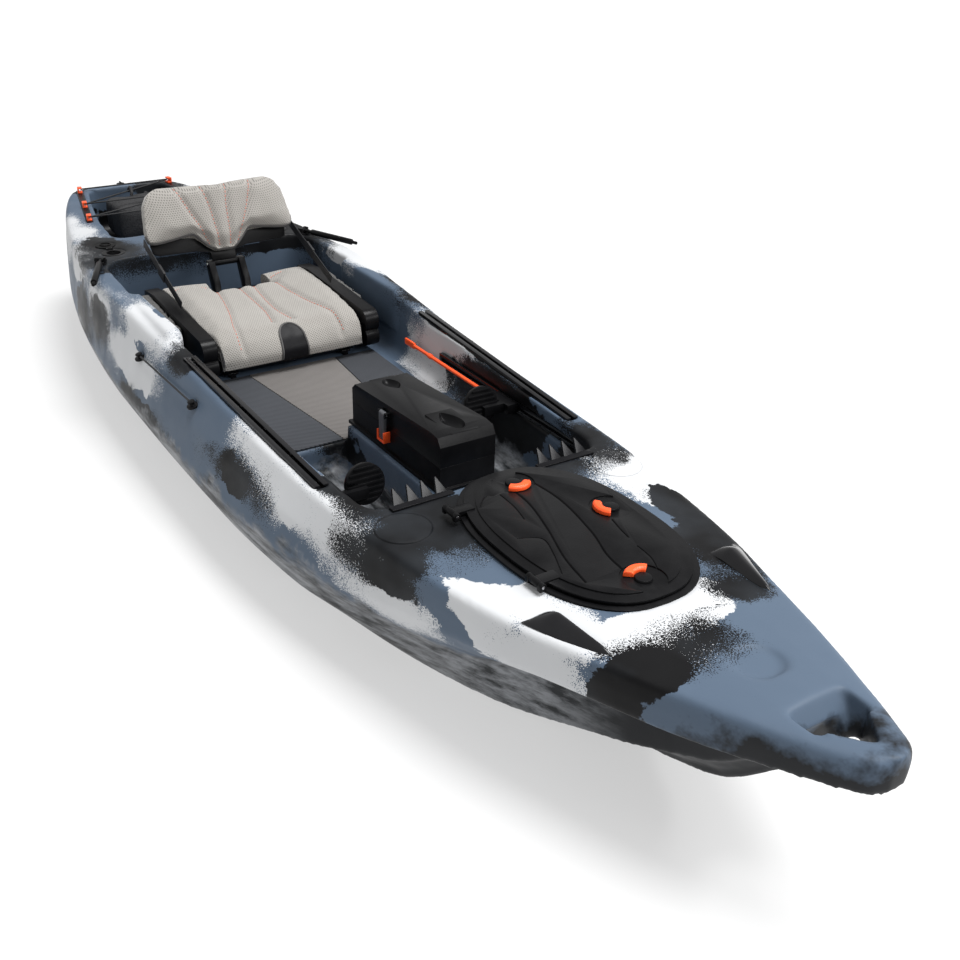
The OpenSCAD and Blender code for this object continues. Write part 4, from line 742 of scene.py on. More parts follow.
# Low on the sides the three powders melt into a streaky grey
streak = n.noise(n.stretch(place, (1.6, 5, 7)), 4.0, 8.0, 0.68)
marble = n.mix(n.ramp(streak, 0.4, 0.6), (0.016, 0.018, 0.020), (0.23, 0.24, 0.255))
marble = n.mix(n.ramp(forward, 1.12, 1.30), marble, (0.013, 0.014, 0.016))
rag = n.math("ADD", height, n.math("MULTIPLY_ADD", n.noise(place, 7.0, 5.0, 0.65), 0.22, -0.11))
past_stem = n.math("MAXIMUM", n.math("SUBTRACT", forward, 1.1), 0.0)
rag = n.math("SUBTRACT", rag, n.math("MULTIPLY", past_stem, 0.28))
low_down = n.ramp(rag, 0.185, 0.155)
n.colour(n.mix(low_down, colour, marble))
n.roughness(n.ramp(n.noise(place, 14.0, 4.0), -0.6, 1.9))
orange_peel = n.noise(place, 190.0, 2.0)
# The edge of the two round bosses on the fore deck
aside = n.math("SUBTRACT", n.math("ABSOLUTE", outward), boss_y)
ring_at = n.add("ShaderNodeCombineXYZ", {0: n.math("SUBTRACT", forward, boss_x), 1: aside})
ring = n.add("ShaderNodeVectorMath", {0: ring_at.outputs[0]}, operation="LENGTH").outputs["Value"]
ring = n.math("MULTIPLY", n.ramp(ring, boss_radius + 0.002, boss_radius - 0.0015), n.ramp(height, 0.29, 0.30))
first = n.bump(ring, 1.0, 0.004)
n.bump(orange_peel, 0.12, 0.0006, first)
fit(hull, "hull", "hull_plastic", hull_plastic, "hull")


# ---------------------------------------------------------------- small mouldings
# The fittings are injection moulded, so their edges are slightly round.
def merged_copy(node, name):
    piece = bpy.data.objects.new(name, nodes[node].data.copy())
    bpy.context.collection.objects.link(piece)
    return edited(piece, merge_doubles)


def moulded(node, slot_name, made, edge=0.0012, rounds=2, cuts=(), adds=(), rides=True):
    """A copy of a fitting with its edges rounded, which then stands for it."""
    piece = merged_copy(node, f"{node}_part")
    for tool in adds:
        carve(piece, tool, "UNION")
    for tool in cuts:
        carve(piece, tool)
    edited(piece, lambda: bpy.ops.mesh.dissolve_limited(angle_limit=math.radians(0.5)))
    apply_modifier(piece, "BEVEL", width=edge, segments=rounds, limit_method="ANGLE",
                   angle_limit=math.radians(32), harden_normals=False)
    smoothed(piece, 35)
    return fit(piece, body_of[node] if rides else None, slot_name, made, node)


def grained(name, colour, roughness, scale=260.0, depth=0.0004, strength=0.35, specular=0.5):
    """Moulded plastic or rubber with a fine grain and slightly uneven gloss."""
    made = material(name, colour, roughness, 0.0, specular)
    n = Nodes(made)
    place = n.place()
    worn = n.noise(place, 22.0, 5.0, 0.6)
    lighter = tuple(min(1, c * 1.4 + 0.002) for c in colour)
    n.colour(n.mix(n.ramp(worn, 0.35, 0.8), colour, lighter))
    n.roughness(n.math("MULTIPLY_ADD", worn, 0.22, roughness - 0.11))
    n.bump(n.noise(place, scale, 2.0), strength, depth)
    return made


black_plastic = grained("black_plastic", (0.0035, 0.0035, 0.004), 0.32, specular=0.10)
gloss_black = grained("gloss_black", (0.004, 0.004, 0.005), 0.14, 30.0, 0.0003, 0.08, 0.4)
grey_plastic = grained("grey_plastic", (0.07, 0.073, 0.08), 0.4)
orange_plastic = grained("orange_plastic", (0.86, 0.085, 0.018), 0.34, specular=0.35)
seal_rubber = grained("seal_rubber", (0.007, 0.007, 0.007), 0.7, 500.0, 0.0005, 0.5, 0.15)
steel = material("steel", (0.55, 0.55, 0.57), 0.3, 1.0)
n = Nodes(steel)
n.bump(n.noise(n.stretch(n.place(), (1, 1, 30)), 200.0, 2.0), 0.15, 0.0002)


# ---------------------------------------------------------------- bow hatch
# An oval black lid on a seal, hinged on its starboard side. Its panel has
# two long grooves and two raised fields, and three turning orange grips.
def strip(points, low, high, narrow, wide):
    """A cutter for a sunk line: narrow at the bottom, wide at the top."""
    points = [Vector((*p, 0)) for p in points]
    rings, faces = [], []
    for i, p in enumerate(points):
        d = (points[min(i + 1, len(points) - 1)] - points[max(i - 1, 0)]).normalized()
        across = Vector((-d.y, d.x, 0))
        for reach, z in ((-narrow, low), (narrow, low), (wide, high), (-wide, high)):
            q = p + across * reach / 2
            rings.append((q.x, q.y, z))
    for i in range(len(points) - 1):
        a = i * 4
        faces += [(a + k, a + (k + 1) % 4, a + 4 + (k + 1) % 4, a + 4 + k) for k in range(4)]
    last = (len(points) - 1) * 4
    faces += [(3, 2, 1, 0), (last, last + 1, last + 2, last + 3)]
    return edited(mesh_of("cutter", rings, faces), face_outwards)


def around(points, i):
    """The two points of a line beside its stretch i, and one more on either side."""
    return [points[min(max(j, 0), len(points) - 1)] for j in range(i - 1, i + 3)]


def eased(p, u):
    """A place a share of the way from the second to the third of four values."""
    return 0.5 * (2 * p[1] + (p[2] - p[0]) * u + (2 * p[0] - 5 * p[1] + 4 * p[2] - p[3]) * u**2
                  + (3 * p[1] - p[0] - 3 * p[2] + p[3]) * u**3)


def swept(points, count=24):
    """A smooth line through a few points given from the middle of the lid."""
    made = []
    for k in range(count + 1):
        t = k / count * (len(points) - 1)
        i = min(int(t), len(points) - 2)
        xs, ys = zip(*around(points, i))
        made.append((hatch_x + eased(xs, t - i), eased(ys, t - i)))
    return made


moulded("hatch_rim", "black_plastic", black_plastic)
moulded("hatch_gasket", "seal_rubber", seal_rubber, 0.0006)
panel_top = 0.3495
lid_lines = [
    [(-0.215, 0.030), (-0.10, 0.040), (0.03, 0.018), (0.12, -0.010), (0.222, -0.018)],
    [(-0.205, -0.020), (-0.12, -0.022), (-0.02, -0.048), (0.08, -0.082), (0.165, -0.098)],
    [(-0.175, -0.052), (-0.12, -0.055), (-0.07, -0.066)],
    [(-0.178, -0.064), (-0.180, -0.085), (-0.150, -0.115)],
    [(-0.020, -0.118), (0.005, -0.078), (0.055, -0.090), (0.120, -0.118)],
    [(0.015, 0.080), (0.055, 0.070), (0.085, 0.065)],
    [(0.115, 0.060), (0.160, 0.055), (0.195, 0.040)],
]
lid_cuts = []
for k, line in enumerate(lid_lines):
    depth, wide = (0.0035, 0.009) if k < 2 else (0.002, 0.006)
    lid_cuts.append(strip(swept(line), panel_top - depth, panel_top + 0.003, 0.0016, wide))
moulded("hatch_lid", "black_plastic", black_plastic, 0.0014, cuts=lid_cuts)

# Each latch is a thick arc that stands on a round black foot, with a shaft
# through the lid and a cam at its lower end
grip_height, grip_steps = 0.012, 24
for node, x, y, turn in (("hatch_latch_front", 0.204, 0, 180), ("hatch_latch_side", -0.025, 0.110, 270),
                         ("hatch_latch_rear", -0.204, 0, 0)):
    low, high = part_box(node)
    on_lid = high.z - grip_height
    x += hatch_x
    section = ((0.0175, on_lid + 0.0004), (0.0368, on_lid + 0.0004), (0.0362, high.z - 0.004),
               (0.0325, high.z - 0.0004), (0.0225, high.z - 0.0004), (0.0178, high.z - 0.004))
    rings, faces, count = [], [], len(section)
    for k in range(grip_steps + 1):
        a = math.radians(turn - 50 + 100 * k / grip_steps)
        rings += [(x + radius * math.cos(a), y + radius * math.sin(a), z) for radius, z in section]
    for first in range(0, grip_steps * count, count):
        faces += [(first + j, first + (j + 1) % count, first + count + (j + 1) % count, first + count + j)
                  for j in range(count)]
    faces += [tuple(range(count))[::-1], tuple(range(grip_steps * count, grip_steps * count + count))]
    grip = edited(mesh_of(f"{node}_grip", rings, faces), face_outwards)
    apply_modifier(grip, "BEVEL", width=0.0013, segments=3, limit_method="ANGLE", angle_limit=0.6)
    smoothed(grip, 40)
    fit(grip, body_of[node], "orange_plastic", orange_plastic, node)
    foot = drum((x, y), 0.0172, on_lid + 0.0002, on_lid + 0.0042, 0.0155)
    foot.name = f"{node}_foot"
    apply_modifier(foot, "BEVEL", width=0.0008, segments=2, limit_method="ANGLE", angle_limit=0.6)
    smoothed(foot, 40)
    fit(foot, body_of[node], "black_plastic", black_plastic, node)
    shaft = drum((x, y), 0.008, low.z + 0.001, on_lid + 0.001)
    cam = brick((-0.007, 0, low.z), (0.007, 0.026, low.z + 0.004))
    carve(shaft, turned(cam, (x, y, 0), [(math.radians(turn - 180), "Z")]), "UNION")
    shaft.name = f"{node}_shaft"
    apply_modifier(shaft, "BEVEL", width=0.0006, segments=2, limit_method="ANGLE", angle_limit=0.6)
    fit(shaft, body_of[node], "black_plastic", black_plastic, node)


# ---------------------------------------------------------------- console
# A black box over the ridge between the footwells. Its sloping lid has two
# finger scoops, and a grey lever with an orange catch holds it shut.
def scoop(x, y, z, length, width, depth, turn):
    """A leaf-shaped hollow: round and deep at one end, pointed at the other."""
    points = []
    for share, level in ((1.12, 0.02), (1.0, 0.0), (0.86, -0.5), (0.6, -0.85), (0.25, -1.0)):
        drop = level * depth if level < 0 else level
        for k in range(28):
            a = math.tau * k / 28
            taper = 1 - 0.55 * max(0, math.cos(a)) ** 1.5
            points.append((length / 2 * (share * math.cos(a) - 0.18 * (1 - share)),
                           width / 2 * share * math.sin(a) * taper, drop))
    return turned(hull_of(points), (x, y, z), [(math.radians(-4), "Y"), (turn, "Z")])


moulded("console_base", "black_plastic", black_plastic, 0.003, 3)
backing = [brick((0.485, -0.034, 0.362), (0.598, 0.034, 0.3885)),
           brick((0.222, -0.030, 0.350), (0.318, 0.034, 0.369))]
scoops = [scoop(0.540, 0.0, 0.3895, 0.092, 0.046, 0.017, math.pi),
          scoop(0.270, 0.004, 0.3735, 0.074, 0.040, 0.014, 0)]
moulded("console_lid", "black_plastic", black_plastic, 0.010, 5, cuts=scoops, adds=backing)
moulded("console_latch", "grey_plastic", grey_plastic, 0.002)
moulded("console_catch", "orange_plastic", orange_plastic, 0.0012)


# ---------------------------------------------------------------- foot braces
# A black rail in each footwell wall, and a round ribbed pad that slides on
# it. An orange rod runs back along the wall from each, to free its catch.
track_black = grained("track_black", (0.005, 0.005, 0.006), 0.18, 120.0, 0.0002, 0.1, 0.3)
for side, tag in SIDES:
    moulded(f"brace_rail_{tag}", "track_black", track_black, 0.0012)
    moulded(f"pedal_{tag}", "black_plastic", black_plastic, 0.0011)
    moulded(f"release_rod_{tag}", "orange_plastic", orange_plastic, 0.0008)


# ---------------------------------------------------------------- gear tracks
# Extruded black tracks along both gunwales, each with a slot for sliding
# feet, and the black mouldings of the deck round them.
for side, tag in SIDES:
    moulded(f"gear_track_{tag}", "track_black", track_black, 0.0012)
    moulded(f"side_handle_{tag}", "black_plastic", black_plastic, 0.0008)
comb_black = grained("comb_black", (0.004, 0.004, 0.005), 0.3, 60.0, 0.0003, 0.1, 0.1)
moulded("lure_combs", "gloss_black", comb_black, 0.0014, 3)

# Two glossy hoods on the fore deck: tall and open behind, with a ridge that
# falls to a round nose
for side, tag in SIDES:
    low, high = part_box(f"bow_hood_{tag}")
    inner_y, outer_y = min(abs(low.y), abs(high.y)), max(abs(low.y), abs(high.y))
    rows, columns, points, faces = 28, 20, [], []
    for i in range(rows + 1):
        share = i / rows
        x = between(low.x, high.x, share)
        inner_edge = between(inner_y + 0.008, inner_y + 0.002, share)
        outer_edge = between(outer_y - 0.001, inner_y + 0.016, share**1.15)
        if share > 0.86:
            close = math.sqrt(max(0.0, 1 - ((share - 0.86) / 0.14) ** 2))
            middle = (inner_edge + outer_edge) / 2
            inner_edge = middle + (inner_edge - middle) * close
            outer_edge = middle + (outer_edge - middle) * close
        rise = (high.z - low.z - 0.0015) * min(1, (share / 0.20) ** 0.6)
        rise *= 1 - 0.72 * max(0, share - 0.2) ** 1.15
        rise *= math.sqrt(max(0.0, 1 - max(0, (share - 0.8) / 0.2) ** 2))
        for k in range(columns + 1):
            u = k / columns
            y = between(inner_edge, outer_edge, u)
            crest = 1 - abs(u - 0.36) / (0.36 if u < 0.36 else 0.64)
            swell = 0.9 * math.sin(crest * math.pi / 2) + 0.1 * crest
            points.append((x, side * y, low.z + 0.0012 + rise * swell))
    top = len(points)
    points += [(x, y, low.z + 0.0002) for x, y, z in points]
    across = columns + 1
    for i in range(rows):
        for k in range(columns):
            a = i * across + k
            b = a + top
            faces += [(a, a + 1, a + across + 1, a + across), (b + across, b + across + 1, b + 1, b)]
        for k in (0, columns):
            a = i * across + k
            faces.append((a, a + across, top + a + across, top + a))
    for i in (0, rows):
        for k in range(columns):
            a = i * across + k
            faces.append((a, a + 1, top + a + 1, top + a))
    hood = edited(mesh_of(f"bow_hood_{tag}_moulded", points, faces), merge_doubles, face_outwards)
    smoothed(hood, 50)
    fit(hood, "hull", "gloss_black", gloss_black, f"bow_hood_{tag}")


# ---------------------------------------------------------------- seat
# A moulded black pan slides on two rails, between two black side bolsters
# with crumpled mesh pockets. Its cushion is foam in a light grey spacer
# mesh, sewn with coral thread, and has a black patch at its front edge.
def spacer_mesh(name, turn):
    """Knitted mesh with rows of small holes, about 6 mm apart, painted dark as the shade inside them."""
    made = material(name, (0.42, 0.395, 0.36), 0.82, 0.0, 0.3)
    made.node_tree.nodes["Principled BSDF"].inputs["Sheen Weight"].default_value = 0.25
    n = Nodes(made)
    place = n.stretch(n.place(), (1, 1, 1), turn)
    x, across, z = n.axes(place)
    along = n.math("SUBTRACT", x, z)
    pitch = math.tau / 0.0062
    waves = []
    for a, b in ((1.0, 0.0), (0.5, 0.866), (0.5, -0.866)):
        phase = n.math("MULTIPLY_ADD", across, b * pitch, n.math("MULTIPLY", along, a * pitch))
        waves.append(n.math("COSINE", phase))
    total = n.math("ADD", n.math("ADD", waves[0], waves[1]), waves[2])
    hole = n.ramp(total, 0.4, 2.2)
    broad = n.noise(n.place(), 16.0, 4.0, 0.6)
    yarn = n.noise(n.place(), 900.0, 1.0)
    cloth = n.mix(broad, (0.30, 0.284, 0.262), (0.38, 0.362, 0.336))
    cloth = n.mix(n.math("MULTIPLY", yarn, 0.35), cloth, (0.2, 0.19, 0.175))
    # The holes are real; their dark colour is painted shade
    n.colour(n.mix(n.math("MULTIPLY", hole, 0.8), cloth, (0.10, 0.095, 0.088)))
    n.bump(n.math("SUBTRACT", n.math("MULTIPLY", yarn, 0.25), hole), 0.7, 0.0012)
    return made


def cushion(node, name, shrink, cap, rests, axes, grain=0.005):
    """A pad blown up a little inside its cover, flat where it rests on something."""
    piece = merged_copy(node, name)
    apply_modifier(piece, "REMESH", mode="VOXEL", voxel_size=grain, use_smooth_shade=True)
    apply_modifier(piece, "SMOOTH", factor=0.5, iterations=8)
    apply_modifier(piece, "DISPLACE", strength=-shrink, mid_level=0.0)
    rest, facing, cut = points_of(piece.data), points_of(piece.data, "normal"), points_of(nodes[node].data)
    cloth = piece.modifiers.new("cloth", "CLOTH")
    cover = {"quality": 5, "mass": 0.3, "tension_stiffness": 15, "compression_stiffness": 15,
             "shear_stiffness": 5, "bending_stiffness": 4, "use_pressure": True,
             "uniform_pressure_force": 4}
    for key, value in cover.items():
        setattr(cloth.settings, key, value)
    cloth.settings.effector_weights.gravity = 0
    cloth.point_cache.frame_start, cloth.point_cache.frame_end = 1, 20
    for step in range(1, 21):
        bpy.context.scene.frame_set(step)
    blown = piece.evaluated_get(bpy.context.evaluated_depsgraph_get()).data
    moved = points_of(blown)
    piece.modifiers.clear()
    bpy.context.scene.frame_set(1)
    shift = moved - rest
    length = np.linalg.norm(shift, axis=1, keepdims=True)
    shift *= np.minimum(1, cap / np.maximum(length, 1e-9))
    down = facing @ np.array(rests)
    shift *= np.clip((0.75 - down) / 0.5, 0.15, 1)[:, None]
    # Its two sides stay as straight as the panels that are sewn there
    beside = np.abs(rest[:, 1]) / np.abs(rest[:, 1]).max()
    shift[:, 1] *= np.clip((0.97 - beside) / 0.14, 0, 1)
    shift *= (1 - 0.6 * np.abs(facing[:, 1]))[:, None]
    move_points(piece, rest + shift)
    apply_modifier(piece, "SMOOTH", factor=0.5, iterations=16)
    # Drawn out again to the length and width that it was cut to
    moved = points_of(piece.data)
    for axis in axes:
        axis = np.array(list(axis))
        now, full = moved @ axis, cut @ axis
        wanted = np.interp(now, (now.min(), now.max()), (full.min(), full.max()))
        moved += np.outer(wanted - now, axis)
    move_points(piece, moved)
    return piece


def sewn(piece, lines, normal, depth, width):
    """Sinks the surface along lines of stitching that are seen from above it."""
    up = Vector(normal).normalized()
    beside = up.orthogonal().normalized()
    basis = np.array([list(beside), list(up.cross(beside))])
    points, facing = points_of(piece.data), points_of(piece.data, "normal")
    flat = points @ basis.T
    sunk = np.zeros(len(points))
    for line in lines:
        route = np.array([list(p) for p in line]) @ basis.T
        for a, b in zip(route, route[1:]):
            d = b - a
            share = np.clip(((flat - a) @ d) / max(d @ d, 1e-12), 0, 1)
            apart = np.linalg.norm(flat - a - share[:, None] * d, axis=1)
            sunk = np.maximum(sunk, np.exp(-((apart / width) ** 2)))
    front = np.clip((facing @ np.array(list(up)) + 0.1) / 0.5, 0, 1)
    points -= np.array(list(up)) * (sunk * front * depth)[:, None]
    move_points(piece, points)


def tree_of(piece):
    return BVHTree.FromObject(piece, bpy.context.evaluated_depsgraph_get())


def laid_on(tree, point, normal, above):
    """The place on a surface straight below a point, seen along the normal."""
    up = Vector(normal).normalized()
    hit = tree.ray_cast(Vector(point) + up * 0.25, -up, 0.6)
    return hit[0] + up * above if hit[0] else None


def spread(points, step):
    """Points a step apart along a smooth line through a few given ones."""
    fine = []
    for i in range(len(points) - 1):
        near = [Vector(p) for p in around(points, i)]
        fine += [eased(near, k / 40) for k in range(40)]
    fine.append(Vector(points[-1]))
    made, gone = [fine[0]], 0.0
    for a, b in zip(fine, fine[1:]):
        gone += (b - a).length
        if gone >= step:
            made.append(b)
            gone = 0.0
    return made


def stitches(name, tree, lines, normal, body):
    """Rows of short raised threads along the seams."""
    points, faces = [], []
    for line in lines:
        route = [laid_on(tree, p, normal, 0.0004) for p in spread(line, 0.0045)]
        for a, b in zip(route[::2], route[1::2]):
            if a is None or b is None:
                continue
            d = (b - a).normalized()
            side = d.cross(Vector(normal)).normalized() * 0.0009
            up = side.cross(d).normalized() * 0.0011
            base = len(points)
            for q in (a, a.lerp(b, 0.5) + up * 0.5, b):
                points += [q - side, q + up, q + side, q - up]
            for first in (base, base + 4):
                faces += [(first + j, first + (j + 1) % 4, first + 4 + (j + 1) % 4, first + 4 + j)
                          for j in range(4)]
            faces += [(base + 3, base + 2, base + 1, base), (base + 8, base + 9, base + 10, base + 11)]
    piece = edited(mesh_of(name, points, faces), face_outwards)
    smoothed(piece)
    return fit(piece, body, "grey_mesh", coral_thread)


def corded(name, route, width, made, slot_name, body):
    """A round cord or piping along a route, as a mesh."""
    piece = tube(name, route, width, sides=8)
    select_only(piece)
    bpy.ops.object.convert(target="MESH")
    piece = bpy.context.object
    bpy.ops.object.shade_smooth()
    return fit(piece, body, slot_name, made)


coral_thread = material("coral_thread", (0.68, 0.135, 0.075), 0.6)
n = Nodes(coral_thread)
n.colour(n.mix(n.noise(n.place(), 700.0, 2.0), (0.55, 0.11, 0.06), (0.78, 0.2, 0.12)))
piping_cloth = grained("piping_cloth", (0.075, 0.073, 0.072), 0.8, 1200.0, 0.0005, 0.6, 0.3)
webbing = material("webbing", (0.008, 0.008, 0.009), 0.55, 0.0, 0.3)
n = Nodes(webbing)
askew = n.stretch(n.place(), (1, 1, 1), (0.6, 0.5, 0.6))
inputs = {"Vector": askew, "Scale": 160.0, "Distortion": 1.0, "Detail": 1.0}
weave = n.add("ShaderNodeTexWave", inputs).outputs["Fac"]
n.colour(n.mix(weave, (0.006, 0.006, 0.007), (0.02, 0.02, 0.022)))
n.bump(weave, 0.5, 0.0005)

moulded("seat_pan", "black_plastic", black_plastic, 0.0015)
moulded("seat_rails", "track_black", track_black, 0.0008)
seat_mesh = spacer_mesh("seat_mesh", (0, 0, 0))
seat_front, seat_rear, pan_front, pan_rear = -0.283, -0.703, 0.2585, 0.3085
seat_pad = cushion("seat_cushion", "seat_pad", 0.006, 0.018, (0, 0, -1), [(1, 0, 0), (0, 1, 0)])
seat_up = (0.15, 0, 1)
seat_lines = []
for side in (1, -1):
    for seam in (
        [(-0.606, 0.088, 0.35), (-0.52, 0.098, 0.35), (-0.42, 0.118, 0.35), (-0.34, 0.142, 0.34),
         (-0.285, 0.150, 0.33), (-0.262, 0.151, 0.32)],
        [(-0.612, 0.024, 0.35), (-0.52, 0.018, 0.35), (-0.42, 0.016, 0.35), (-0.335, 0.030, 0.34)],
        [(-0.640, 0.100, 0.35), (-0.655, 0.150, 0.35), (-0.640, 0.196, 0.35)],
    ):
        seat_lines.append([(x, side * y, z) for x, y, z in seam])
sewn(seat_pad, seat_lines, seat_up, 0.0075, 0.009)
# The middle of the seat is hollowed and its sides stand up a little
for vertex in seat_pad.data.vertices:
    x, y, z = vertex.co
    if z > pan_front + 0.03 and vertex.normal.z > 0.1:
        along = max(0, 1 - ((x + 0.46) / 0.2) ** 2)
        vertex.co.z += along * (0.008 * (y / 0.2) ** 2 - 0.010 * max(0, 1 - (y / 0.17) ** 2))
    vertex.co.y *= 1 - 0.055 * max(0, (x + 0.42) / 0.16) ** 2
apply_modifier(seat_pad, "SUBSURF", levels=1, render_levels=1)
smoothed(seat_pad)
fit(seat_pad, "seat", "grey_mesh", seat_mesh, "seat_cushion")
seat_tree = tree_of(seat_pad)
stitches("seat_thread", seat_tree, seat_lines, seat_up, "seat")

# The black patch, on the front of the cushion and over its edge: straight
# sides, and a round top
patch_view = Vector((0.82, 0, 0.57))
patch_up = Vector((-0.57, 0, 0.82))
patch_foot = Vector((-0.262, 0, 0.244))


def on_front(y, t, above):
    return laid_on(seat_tree, patch_foot + Vector((0, y, 0)) + patch_up * t, patch_view, above)


patch_width, patch_straight, patch_round = 0.078, 0.055, 0.045
patch_tip = 0.0998


def patch_half(t):
    """Half of the patch's width at a height above its foot."""
    if t < patch_straight:
        return patch_width / 2 * (1 - 0.1 * t / patch_straight)
    return patch_width / 2 * 0.9 * math.sqrt(max(0, 1 - ((t - patch_straight) / patch_round) ** 2))


rows, columns, points, faces = 22, 14, [], []
for i in range(rows + 1):
    t = (patch_straight + patch_round) * math.sin(math.pi / 2 * i / rows)
    for k in range(columns + 1):
        y = patch_half(min(t, patch_tip)) * (2 * k / columns - 1)
        points.append(on_front(y, t, 0.0012) or Vector((-0.258, y, 0.244 + t)))
for i in range(rows):
    for k in range(columns):
        a = i * (columns + 1) + k
        faces.append((a, a + 1, a + columns + 2, a + columns + 1))
front_patch = mesh_of("seat_front_patch", points, faces)
apply_modifier(front_patch, "SOLIDIFY", thickness=0.0016, offset=0.0)
smoothed(front_patch)
patch_cloth = grained("patch_cloth", (0.004, 0.004, 0.005), 0.45, 900.0, 0.0003, 0.3, 0.12)
fit(front_patch, "seat", "grey_mesh", patch_cloth)
border = []
for k in range(65):
    a = k / 64 * 2 - 1
    reach = abs(a)
    if reach > 0.55:
        t = patch_straight * (1 - reach) / 0.45
    else:
        t = patch_straight + patch_round * math.cos(reach / 0.55 * math.pi / 2)
    border.append(on_front(math.copysign(patch_half(min(t, patch_tip)), a), t, 0.0015))
corded("seat_patch_piping", [p for p in border if p], 0.0058, piping_cloth, "grey_mesh", "seat")

# Piping round the sides and front of the cushion
for side, tag in SIDES:
    edge = []
    for k in range(41):
        x = between(seat_rear + 0.024, seat_front + 0.004, k / 40)
        floor = between(pan_rear, pan_front, min(1, k / 36))
        hit = seat_tree.ray_cast(Vector((x, side * 0.3, floor + 0.034)), Vector((0, -side, 0)), 0.3)
        if hit[0]:
            edge.append(hit[0])
    corner = seat_tree.ray_cast(Vector((seat_front + 0.012, side * 0.3, 0.258)), Vector((0, -side, 0)), 0.3)
    if corner[0]:
        edge += [corner[0], corner[0] + Vector((0.003, 0, -0.012))]
    corded(f"seat_piping_{tag}", edge, 0.0072, piping_cloth, "grey_mesh", "seat")

for side, tag in SIDES:
    moulded(f"seat_bolster_{tag}", "black_plastic", black_plastic, 0.011, 5)

# Pockets of thin dark mesh, which hang in folds
pocket_mesh = material("pocket_mesh", (0.05, 0.05, 0.052), 0.8, 0.0, 0.25)
n = Nodes(pocket_mesh)
place = n.place()
grid = n.cells(place, 300.0)
n.colour(n.mix(n.ramp(grid, 0.15, 0.5), (0.018, 0.018, 0.019), (0.115, 0.113, 0.11)))
n.bump(n.math("ADD", grid, n.math("MULTIPLY", n.noise(place, 30.0, 3.0), 2.0)), 0.5, 0.002)
random.seed(7)


def creased(piece, creases, axis, width, length, depth, most, above=0.0):
    """Presses creases into loose cloth. Each has a middle and a turn, in the plane of X and an axis."""
    for vertex in piece.data.vertices:
        sunk = 0
        for x, v, a in creases:
            dx, dv = vertex.co.x - x, vertex.co[axis] - v
            over = (dx * math.cos(a) + dv * math.sin(a)) / width
            along = (dv * math.cos(a) - dx * math.sin(a)) / length
            sunk += math.exp(-(over**2) - along**2)
        if vertex.co.z > above:
            vertex.co -= vertex.normal * depth * min(sunk, most)
    smoothed(piece)


for side, tag in SIDES:
    pocket = merged_copy(f"side_pocket_{tag}", f"side_pocket_cloth_{tag}")
    apply_modifier(pocket, "REMESH", mode="VOXEL", voxel_size=0.004, use_smooth_shade=True)
    apply_modifier(pocket, "SMOOTH", factor=0.5, iterations=6)
    folds = [(random.uniform(-0.69, -0.41), random.uniform(0.26, 0.34), random.uniform(-0.6, 0.6))
             for k in range(16)]
    creased(pocket, folds, 2, 0.006, 0.03, 0.0045, 1.4)
    fit(pocket, "seat", "pocket_mesh", pocket_mesh, f"side_pocket_{tag}")


# ---------------------------------------------------------------- backrest
# A black frame hinged to the pan, and a wide cushion with round shoulders
# and a point at its foot. Four seams fan up from the point. A strap of
# webbing runs forward from each side.
back_mesh = spacer_mesh("back_mesh", (0, math.radians(-64), 0))
back_lean, back_pivot = math.radians(26), Vector((-0.735, 0, 0.3845))
back_low, back_face, back_cord = 0.078, 0.030, 0.024
back_in = Vector((math.cos(back_lean), 0, math.sin(back_lean)))
back_up = Vector((-math.sin(back_lean), 0, math.cos(back_lean)))


def on_back(up, y, out):
    """A point of the backrest: up from its hinge, across it, and out of its face."""
    return back_pivot + back_up * up + back_in * out + Vector((0, y, 0))


moulded("back_frame", "black_plastic", black_plastic, 0.002)
back_pad = cushion("back_cushion", "back_pad", 0.006, 0.018, tuple(-back_in), [back_up, (0, 1, 0)])
back_lines = []
for side in (1, -1):
    for seam in (
        [(0.052, 0.044), (0.09, 0.060), (0.15, 0.088), (0.229, 0.118)],
        [(0.045, 0.017), (0.10, 0.021), (0.16, 0.026), (0.229, 0.040)],
    ):
        back_lines.append([on_back(up, side * y, back_face) for up, y in seam])
sewn(back_pad, back_lines, back_in, 0.008, 0.010)
apply_modifier(back_pad, "SUBSURF", levels=1, render_levels=1)
smoothed(back_pad)
fit(back_pad, "backrest", "grey_mesh", back_mesh, "back_cushion")
back_tree = tree_of(back_pad)
stitches("back_thread", back_tree, back_lines, tuple(back_in), "backrest")
lower = [(back_low + 0.028, 0.221), (back_low + 0.004, 0.213), (back_low, 0.16), (back_low - 0.002, 0.09),
         (back_low - 0.030, 0.047), (back_low - 0.045, 0.02), (back_low - 0.0465, 0)]
lower += [(up, -y) for up, y in lower[-2::-1]]
lower = [on_back(up, y, back_cord) for up, y in lower]
middle = on_back(0.14, 0, back_cord)
piping = []
for p in spread(lower, 0.008):
    outward = p - middle
    outward -= back_in * outward.dot(back_in)
    outward.y *= 0.25
    outward.normalize()
    hit = back_tree.ray_cast(p + outward * 0.06, -outward, 0.12)
    piping.append(hit[0] if hit[0] else p)
corded("back_piping", piping, 0.0105, piping_cloth, "grey_mesh", "backrest")

for side, tag in SIDES:
    strap = moulded(f"back_strap_{tag}", "webbing", webbing, 0.0008, rides=False)
    edited(strap, bpy.ops.mesh.quads_convert_to_tris, lambda: bpy.ops.mesh.subdivide(number_cuts=3))
    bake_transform(strap)


# ---------------------------------------------------------------- deck mats
# Foam mats with fine ribs, stuck to the floor in front of the seat: taupe
# in the middle and slate at the sides. The grooves between the ribs are
# painted darker, as painted shade.
rib_pitch = 0.0075


